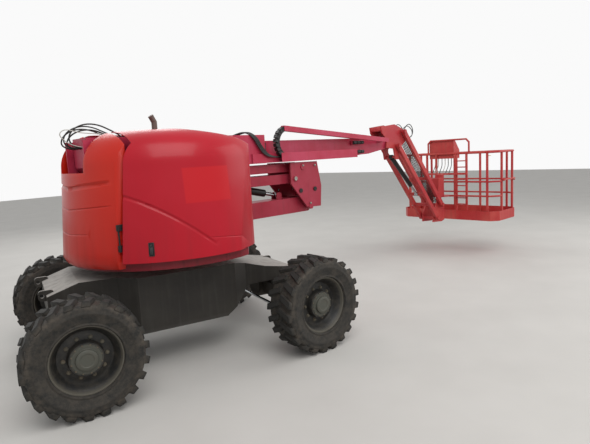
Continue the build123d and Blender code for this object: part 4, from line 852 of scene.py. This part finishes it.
hood_model_left = copy_at(hood_model, Matrix.Identity(4))
everything(hood_model_left)
bpy.ops.transform.resize(value=(1, -1, 1), center_override=(0, 0, 0))
finish_hood(hood_model, "right", near_hood_coat)
finish_hood(hood_model_left, "left", hood_coat)
print("wall", HOOD_WALL)

# %% [markdown]
# The rear casting is the counterweight: iron poured in a sand mould, ground smooth and painted a more
# orange red than the doors, because iron and glass fibre take a colour differently. It is the same domed
# block, sawn off in front of the tail, with a lower middle where the boom's foot stands.

# %% Rear casting
CAST_FRONT = -0.660
CAST_HALF = 0.560
CAST_CENTRE_TOP = 1.795
CAST_WALL_FRONT = -0.885
DECK_TOP = 1.000
GROOVE_END = 0.500
SHORT_LINE_END = 0.290


def cut_box(piece, low, high):
    """Take a box out of a closed piece with a Boolean modifier."""
    cutter = add_block(high - low, (low + high) / 2)
    apply_modifier(piece, "BOOLEAN", operation="DIFFERENCE", object=cutter, solver="EXACT")
    bpy.data.objects.remove(cutter)


cast_model = domed_block()
saw(cast_model, at(CAST_FRONT, 0, 0), (1, 0, 0))
saw(cast_model, at(0, CAST_HALF, 0), (0, 1, 0))
saw(cast_model, at(0, -CAST_HALF, 0), (0, -1, 0))
for tilt in (1, -1):
    press_groove(cast_model, at(-0.93, 0, 1.663), (-0.02, tilt * 0.085, 1), 0.024, 0.014,
                 lambda place: 0 < place.y * -tilt < GROOVE_END)
for tilt in (1, -1):
    press_groove(cast_model, at(-0.93, 0, 1.483), (-0.02, tilt * 0.07, 1), 0.007, 0.006,
                 lambda place: 0 < place.y * -tilt < GROOVE_END)
    press_groove(cast_model, at(-0.93, 0, 1.272), (0, tilt * 0.05, 1), 0.005, 0.004,
                 lambda place: 0 < place.y * -tilt < SHORT_LINE_END)
everything(cast_model)
bpy.ops.mesh.remove_doubles(threshold=MERGE_GAP)
fresh()
cut_box(cast_model, at(CAST_WALL_FRONT, -SLOT_HALF, 0.9), at(0, SLOT_HALF, 2.3))
cut_box(cast_model, at(-1.2, -SLOT_HALF, CAST_CENTRE_TOP), at(0, SLOT_HALF, 2.3))
pick(cast_model, "FACE", lambda place, normal: normal.z < -0.99 and place.z < COVER_BOTTOM + 0.001)
bpy.ops.mesh.extrude_region_move(TRANSFORM_OT_translate={"value": (0, 0, DECK_TOP - COVER_BOTTOM)})
bpy.ops.transform.resize(value=(0.915, 0.985, 1), center_override=at(CAST_FRONT, 0, 0))
fresh()
apply_modifier(cast_model, "BEVEL", width=0.008, segments=2, limit_method="ANGLE",
               angle_limit=math.radians(55))
apply_modifier(cast_model, "WEIGHTED_NORMAL", keep_sharp=True)
settle(cast_model, "rear_casting", "turret", cover_coat, COVER_SMOOTH)
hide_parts("casting")
print("casting faces", len(cast_model.data.polygons))

# %% [markdown]
# ## Hoses and cables
# Hydraulic hoses are nitrile rubber over steel braid: stiff, so they arch rather than droop, and their
# bends stay wide. Each is one smooth NURBS curve with a round bevel, which is how a hose lies, while a
# chain of straight tubes would look like bent wire. Both ends go back into the machine.

# %% One hose from its control points
hose_lengths = {}


def curve_length(curve_object):
    """Length of a curve that has no bevel yet."""
    bpy.context.view_layer.update()
    evaluated = curve_object.evaluated_get(bpy.context.evaluated_depsgraph_get())
    line = bpy.data.meshes.new_from_object(evaluated)
    points = [point.co for point in line.vertices]
    length = sum((after - before).length for before, after in zip(points, points[1:]))
    bpy.data.meshes.remove(line)
    return length


def hose(name, body, points, diameter, finish):
    curve = bpy.data.curves.new(name, "CURVE")
    curve.dimensions = "3D"
    curve.resolution_u = 10
    curve.bevel_resolution = 3
    spline = curve.splines.new("NURBS")
    spline.points.add(len(points) - 1)
    for control, point in zip(spline.points, points):
        control.co = (*point, 1)
    spline.order_u = 3
    spline.use_endpoint_u = True
    piece = bpy.data.objects.new(name, curve)
    bpy.context.collection.objects.link(piece)
    length = curve_length(piece)
    curve.bevel_depth = diameter / 2
    curve.materials.append(finish)
    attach(piece, body)
    hose_lengths[name] = round(length, 2)


# %% [markdown]
# Where the main boom leaves its foot, the hoses make loose loops over the tail, so that they aren't
# stretched when the boom goes up. One thin pale cable runs with them.

# %% Loops over the tail
TAIL_LOOPS = {
    "near": (-0.09, 2.205, 0.013),
    "middle": (-0.03, 2.160, 0.013),
    "inner": (0.04, 2.195, 0.012),
    "far": (0.10, 2.175, 0.013),
}
for name, (left, crest, diameter) in TAIL_LOOPS.items():
    hose("tail_loop_" + name, "outer_boom", [
        at(-0.440, left, 2.078), at(-0.470, left, 2.110), at(-0.560, left - 0.01, crest - 0.050),
        at(-0.680, left - 0.04, crest - 0.004), at(-0.800, left - 0.05, crest),
        at(-0.895, left - 0.03, crest - 0.045), at(-0.925, left, crest - 0.120),
        at(-0.880, left + 0.01, 2.010), at(-0.790, left + 0.01, 2.000)], diameter, hose_rubber)
hose("tail_cable", "outer_boom", [
    at(-0.540, -0.125, 2.086), at(-0.590, -0.130, 2.110), at(-0.700, -0.140, 2.122),
    at(-0.850, -0.145, 2.130), at(-0.960, -0.140, 2.165), at(-1.010, -0.120, 2.120),
    at(-0.950, -0.100, 2.060), at(-0.870, -0.090, 2.020), at(-0.790, -0.090, 2.010)], 0.008, cable_white)

# %% [markdown]
# At the front of the outer boom, four hoses come over its top edge and curve down its near side into the
# tray. Lying edge to edge, they read as one black band.

# %% Band of hoses down the near side
BAND_HOSE = 0.0155
BAND_STEP = 0.0165
for row in range(4):
    ahead = row * BAND_STEP
    hose("side_band_%d" % (row + 1), "outer_boom", [
        at(0.800 + ahead, -0.050, 2.083), at(0.850 + ahead, -0.075, 2.108), at(0.930 + ahead, -0.130, 2.125),
        at(1.000 + ahead, -0.178, 2.060), at(1.060 + ahead, -0.178, 1.960), at(1.130 + ahead, -0.182, 1.880),
        at(1.200 + ahead, -0.190, 1.845), at(1.290 + ahead, -0.195, 1.836), at(1.380 + ahead, -0.195, 1.836)],
         BAND_HOSE, hose_rubber)

# %% [markdown]
# Down the jib the hoses lie side by side on the cross tube between its bars. At the boom's head others
# stand out in short loops, which give way when the jib folds.

# %% Jib hoses and head loops
JIB_HOSE_STEP = 0.024
for row in range(5):
    left = -0.050 + row * JIB_HOSE_STEP
    hose("jib_hose_%d" % (row + 1), "jib_link", [
        at(3.730, left, 2.150), at(3.800, left, 2.172), at(3.920, left, 2.165), at(4.020, left, 2.090),
        at(4.150, left, 1.935), at(4.330, left, 1.720), at(4.500, left, 1.520), at(4.620, left, 1.395),
        at(4.760, left, 1.225), at(4.905, left, 1.060), at(5.005, left, 0.925)],
         0.014, hose_rubber)
HEAD_LOOPS = {"near": (-0.110, 4.230, 2.215), "middle": (-0.075, 4.270, 2.190), "far": (0.085, 4.250, 2.225)}
for name, (left, nose, crest) in HEAD_LOOPS.items():
    hose("head_loop_" + name, "jib_bracket", [
        at(3.960, left, 2.090), at(3.990, left, 2.130), at(4.060, left, crest - 0.010),
        at(4.150, left, crest + 0.010), at(nose, left, crest - 0.060), at(nose - 0.010, left, crest - 0.160),
        at(4.120, left, 2.010), at(4.040, left, 1.995)], 0.012, hose_rubber)

# %% [markdown]
# The control box in the basket is fed by soft cables that hang in short bows down to the rotator.

# %% Cables under the control box
CONSOLE_CABLES = [(0.250, hose_rubber), (0.190, cable_white), (0.120, hose_rubber), (0.060, cable_white),
                  (0.000, hose_rubber), (-0.060, hose_rubber)]
for row, (left, shade) in enumerate(CONSOLE_CABLES):
    hose("console_cable_%d" % (row + 1), "basket", [
        at(5.500, left, 1.655), at(5.498, left, 1.600), at(5.465, left - 0.020, 1.530),
        at(5.415, left - 0.030, 1.475), at(5.396, left - 0.015, 1.430), at(5.398, left, 1.375)],
         0.012, shade)
print("hoses", hose_lengths)

# %% [markdown]
# ## Hose chain
# The hoses for the telescope lie in a chain of plastic links, which rolls as the boom goes out. Each link
# is a flat box with a window in each side. One is modelled, with its windows inset, and copied along the
# chain's run: from the guide bar round the bend and into the tray.

# %% One link, copied round the bend
LINK_PITCH = 0.044
LINK_HEIGHT = 0.058
CHAIN_LEFT = -0.200
BEND_RADIUS = 0.160
BEND_MIDDLE = (1.470, 1.995)
CHAIN_END = 2.480


def bevelled_box(size, bevel):
    """Block about the origin with rounded edges."""
    block = add_block(size)
    pick(block, "EDGE", lambda place, way: True)
    bpy.ops.mesh.bevel(offset=bevel, segments=2)
    fresh()
    return block


chain_link = bevelled_box((LINK_PITCH * 0.96, 0.056, LINK_HEIGHT), 0.004)
pick(chain_link, "FACE", lambda place, normal: abs(normal.y) > 0.99)
bpy.ops.mesh.inset(thickness=0.009, depth=-0.007, use_individual=True)
pick(chain_link, "FACE", lambda place, normal: abs(normal.z) > 0.99)
bpy.ops.mesh.inset(thickness=0.007, depth=-0.003, use_individual=True)
fresh()
spots = []
steps = int(math.pi * BEND_RADIUS / LINK_PITCH)
for step in range(steps + 1):
    angle = math.pi * step / steps
    spots.append(Matrix.Translation(at(BEND_MIDDLE[0] - BEND_RADIUS * math.sin(angle), CHAIN_LEFT,
                                       BEND_MIDDLE[1] + BEND_RADIUS * math.cos(angle)))
                 @ Matrix.Rotation(-angle, 4, "Y"))
reach = BEND_MIDDLE[0] + LINK_PITCH
while reach < CHAIN_END:
    spots.append(Matrix.Translation(at(reach, CHAIN_LEFT, BEND_MIDDLE[1] - BEND_RADIUS)))
    reach += LINK_PITCH
hose_links = settle(put_copies(chain_link, spots), "hose_chain_links", "outer_boom",
                    black_abs)
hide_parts("hose_chain")
print("links", len(spots))

# %% [markdown]
# ## Fittings on the booms
# Clamps hold the hoses where they pass from the tray to the inner boom: two rows of round collars on a
# plate. The boom slides on wear pads of black polyamide, whose ends show at the outer boom's mouth.

# %% Collar and clamp rows
def round_collar(radius, length, groove):
    """Cylinder along z with a rounded rim at both ends and a waist between."""
    collar = add_cylinder(28, radius, length)
    pick(collar, "FACE", lambda place, normal: abs(normal.z) > 0.99)
    bpy.ops.mesh.inset(thickness=radius * 0.16, depth=length * 0.06, use_individual=True)
    bpy.ops.mesh.inset(thickness=radius * 0.34, depth=-length * 0.10, use_individual=True)
    for level in (-0.25, -0.15, 0.15, 0.25):
        everything(collar)
        bpy.ops.mesh.bisect(plane_co=(0, 0, level * length), plane_no=(0, 0, 1))
    pick(collar, "VERT", lambda place, normal: abs(place.z) < 0.2 * length and place.xy.length > radius * 0.9)
    bpy.ops.transform.resize(value=(groove, groove, 1), center_override=(0, 0, 0))
    fresh()
    return collar


CLAMP_ROWS = (1.968, 1.846)
CLAMP_STEP = 0.075
clamps = put_copies(round_collar(0.023, 0.052, 0.8),
                    [Matrix.Translation(at(2.760 + CLAMP_STEP * column, -0.150, height)) @ turn_to((1, 0, 0))
                     for height in CLAMP_ROWS for column in range(3)])
settle(clamps, "hose_clamps", "inner_boom", black_abs)
clamp_plate = put_copies(bevelled_box((0.250, 0.022, 0.052), 0.004),
                         [Matrix.Translation(at(2.835, -0.124, height)) for height in CLAMP_ROWS])
settle(clamp_plate, "clamp_plates", "inner_boom", boom_paint)

# %% Wear pads at the outer boom's mouth
MOUTH = 1.186
upright = Matrix.Rotation(math.pi / 2, 4, "X")
pads = put_copies(bevelled_box((0.028, 0.150, 0.030), 0.005),
                  [Matrix.Translation(at(MOUTH, 0, 2.046)),
                   Matrix.Translation(at(MOUTH, -0.128, 1.930)) @ upright,
                   Matrix.Translation(at(MOUTH, 0.128, 1.930)) @ upright])
settle(pads, "wear_pads", "outer_boom", black_abs)

# %% [markdown]
# Pins through the knuckle's plates are held by round keeper caps, zinc plated and bright. The holes beside
# them are closed with black plugs. All of these stand on both sides of the plates, so one helper gives the
# two placements of each spot.

# %% Keeper caps, plugs and bolts
def on_both_sides(spots, half_width):
    return [Matrix.Translation(at(reach, side * half_width, height)) @ turn_to((0, side, 0))
            for reach, height in spots for side in (-1, 1)]


KNUCKLE_HALF = 0.214
PLATE_HALF = 0.213
KEEPER_CAPS = [(1.569, 1.574)]
PLUGS = [(1.649, 1.426), (1.891, 1.429)]
KNUCKLE_BOLTS = [(1.700, 1.720), (1.900, 1.715), (1.800, 1.262)]
FOOT_BOLTS = [(-0.790, 1.660), (-0.790, 1.900), (-0.560, 1.600)]
SIDE_FITTINGS = [
    ("knuckle_pin_caps", "arm_knuckle", "chrome", zinc, round_collar(0.024, 0.014, 0.94), KEEPER_CAPS,
     KNUCKLE_HALF),
    ("knuckle_plugs", "arm_knuckle", "dark_metal", black_paint, round_collar(0.026, 0.006, 0.97), PLUGS,
     KNUCKLE_HALF),
    ("knuckle_bolts", "arm_knuckle", "chrome", zinc, hex_bolt(0.011, 0.008), KNUCKLE_BOLTS, PLATE_HALF),
    ("foot_bolts", "boom_foot", "chrome", zinc, hex_bolt(0.012, 0.009), FOOT_BOLTS, PLATE_HALF),
]
for name, body, material_slot, finish, model, spots, half_width in SIDE_FITTINGS:
    settle(put_copies(model, on_both_sides(spots, half_width)), name, body, finish)
print("side fittings", len(SIDE_FITTINGS))

# %% [markdown]
# ## Hood latch
# The door is held by a black moulded latch with a sunk paddle handle. It sits flat on the round side, so it
# is built facing up and then turned to the surface's own direction.

# %% Latch on each door
latch = bevelled_box((0.112, 0.046, 0.012), 0.005)
pick(latch, "FACE", lambda place, normal: normal.z > 0.99)
bpy.ops.mesh.inset(thickness=0.006, depth=-0.005)
fresh()
paddle = bevelled_box((0.062, 0.028, 0.012), 0.004)
paddle.location = (-0.014, 0, 0.005)
lock = round_collar(0.009, 0.016, 0.9)
lock.location = (0.036, 0, 0.003)
latch = join_pieces([latch, paddle, lock])
LATCH_RADIUS = 0.986
LATCH_HEIGHT = 1.160
LATCH_BEARING = math.radians(51.2)
for body, side in (("hood_right", -1), ("hood_left", 1)):
    outward = Vector((-math.cos(LATCH_BEARING), side * math.sin(LATCH_BEARING), 0.07)).normalized()
    upward = (Vector((0, 0, 1)) - outward * outward.z).normalized()
    frame_turn = Matrix((upward, outward.cross(upward), outward)).transposed().to_4x4()
    spot = at(outward.x * LATCH_RADIUS, outward.y * LATCH_RADIUS, LATCH_HEIGHT)
    settle(copy_at(latch, Matrix.Translation(spot) @ frame_turn), "latch_" + body, body,
           black_abs)
bpy.data.objects.remove(latch)

# %% [markdown]
# ## Basket fittings
# The entry has a short ladder of thin bars between two posts, so that a foot finds a hold. One bar is a
# thin cylinder whose ends are inset, as a welded end looks, and it is copied upwards at one spacing.

# %% Entry rungs
RUNG_COUNT = 8
RUNG_STEP = 0.105
rungs = put_copies(round_collar(0.009, 0.176, 1.0),
                   [Matrix.Translation(at(5.424, -0.280, 0.860 + RUNG_STEP * step)) @ turn_to((0, 1, 0))
                    for step in range(RUNG_COUNT)])
settle(rungs, "entry_rungs", "basket", basket_paint)
print("rungs", RUNG_COUNT)

# %% [markdown]
# ## Floor, light and camera
# A pale floor and soft light from above, as under an even cloudy sky. The camera is the one worked out from
# the photograph: its height, its distance and a slight roll.

# %% Floor and light
FLOOR_SIZE = 60
bpy.ops.mesh.primitive_plane_add(size=FLOOR_SIZE, location=(0, 0, 0))
floor = bpy.context.object
floor.name = "studio_floor"
floor_finish = new_material("pale_concrete")
spread = add_node(floor_finish, "ShaderNodeTexNoise", {"Vector": add_node(floor_finish,
    "ShaderNodeTexCoord").outputs["Object"], "Scale": 1.5, "Detail": 6.0})
floor_colour = add_node(floor_finish, "ShaderNodeMix", {"Factor": spread.outputs["Fac"],
    "A": linear("#B9B6B1"), "B": linear("#C8C5C0")}, data_type="RGBA")
finish_surface(floor_finish, add_node(floor_finish, "ShaderNodeBsdfPrincipled",
    {"Base Color": floor_colour.outputs["Result"], "Roughness": 0.8}))
floor.data.materials.append(floor_finish)
floor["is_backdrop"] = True

scene = bpy.context.scene
scene.world = bpy.data.worlds.new("overcast")
scene.world.use_nodes = True
scene.world.node_tree.nodes.clear()
sky_shade = add_node(scene.world, "ShaderNodeBackground", {"Color": linear("#F4F6F8"), "Strength": 0.62})
seen_shade = add_node(scene.world, "ShaderNodeBackground", {"Color": linear("#FAFAFA"), "Strength": 1.0})
path = add_node(scene.world, "ShaderNodeLightPath")
seen = add_node(scene.world, "ShaderNodeMath", {0: path.outputs["Is Camera Ray"],
    1: path.outputs["Is Glossy Ray"]}, operation="MAXIMUM")
mixed = add_node(scene.world, "ShaderNodeMixShader", {0: seen.outputs[0], 1: sky_shade.outputs[0],
    2: seen_shade.outputs[0]})
add_node(scene.world, "ShaderNodeOutputWorld", {"Surface": mixed.outputs[0]})

LAMPS = [
    ("key_from_above", (-4, -6, 8), 7, 520, (-1, 0, 1)),
    ("fill_from_front", (6, -5, 5), 6, 220, (0, 0, 1)),
    ("back_light", (0, 8, 7), 6, 260, (0, 0, 1)),
]
for name, place, size, power, target in LAMPS:
    bpy.ops.object.light_add(type="AREA", location=place)
    lamp = bpy.context.object
    lamp.name = name
    lamp.data.size = size
    lamp.data.energy = power
    lamp.rotation_euler = (Vector(target) - Vector(place)).to_track_quat("-Z", "Y").to_euler()
print("lamps", len(LAMPS))

# %% Camera from the photograph
PHOTO_WIDTH = 590
FOCAL_PIXELS = 494.8
CAMERA_YAW = math.radians(46.354)
CAMERA_PITCH = math.radians(7.73)
CAMERA_ROLL = math.radians(3.143)
CAMERA_PLACE = at(-2.479, -4.404, 1.851)
bpy.ops.object.camera_add(location=CAMERA_PLACE)
camera = bpy.context.object
ahead = Vector((math.cos(CAMERA_YAW) * math.cos(CAMERA_PITCH), math.sin(CAMERA_YAW) * math.cos(CAMERA_PITCH),
                -math.sin(CAMERA_PITCH)))
level_right = Vector((math.sin(CAMERA_YAW), -math.cos(CAMERA_YAW), 0))
level_down = ahead.cross(level_right)
right = math.cos(CAMERA_ROLL) * level_right + math.sin(CAMERA_ROLL) * level_down
down = math.cos(CAMERA_ROLL) * level_down - math.sin(CAMERA_ROLL) * level_right
turn = Matrix((right, -down, -ahead)).transposed()
camera.rotation_euler = turn.to_euler()
camera.data.sensor_width = 36
camera.data.lens = FOCAL_PIXELS * camera.data.sensor_width / PHOTO_WIDTH
camera.data.clip_end = 200
scene.camera = camera
scene.view_settings.view_transform = "Standard"
print("lens", round(camera.data.lens, 2), "mm")

# %% Sizes
low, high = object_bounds()
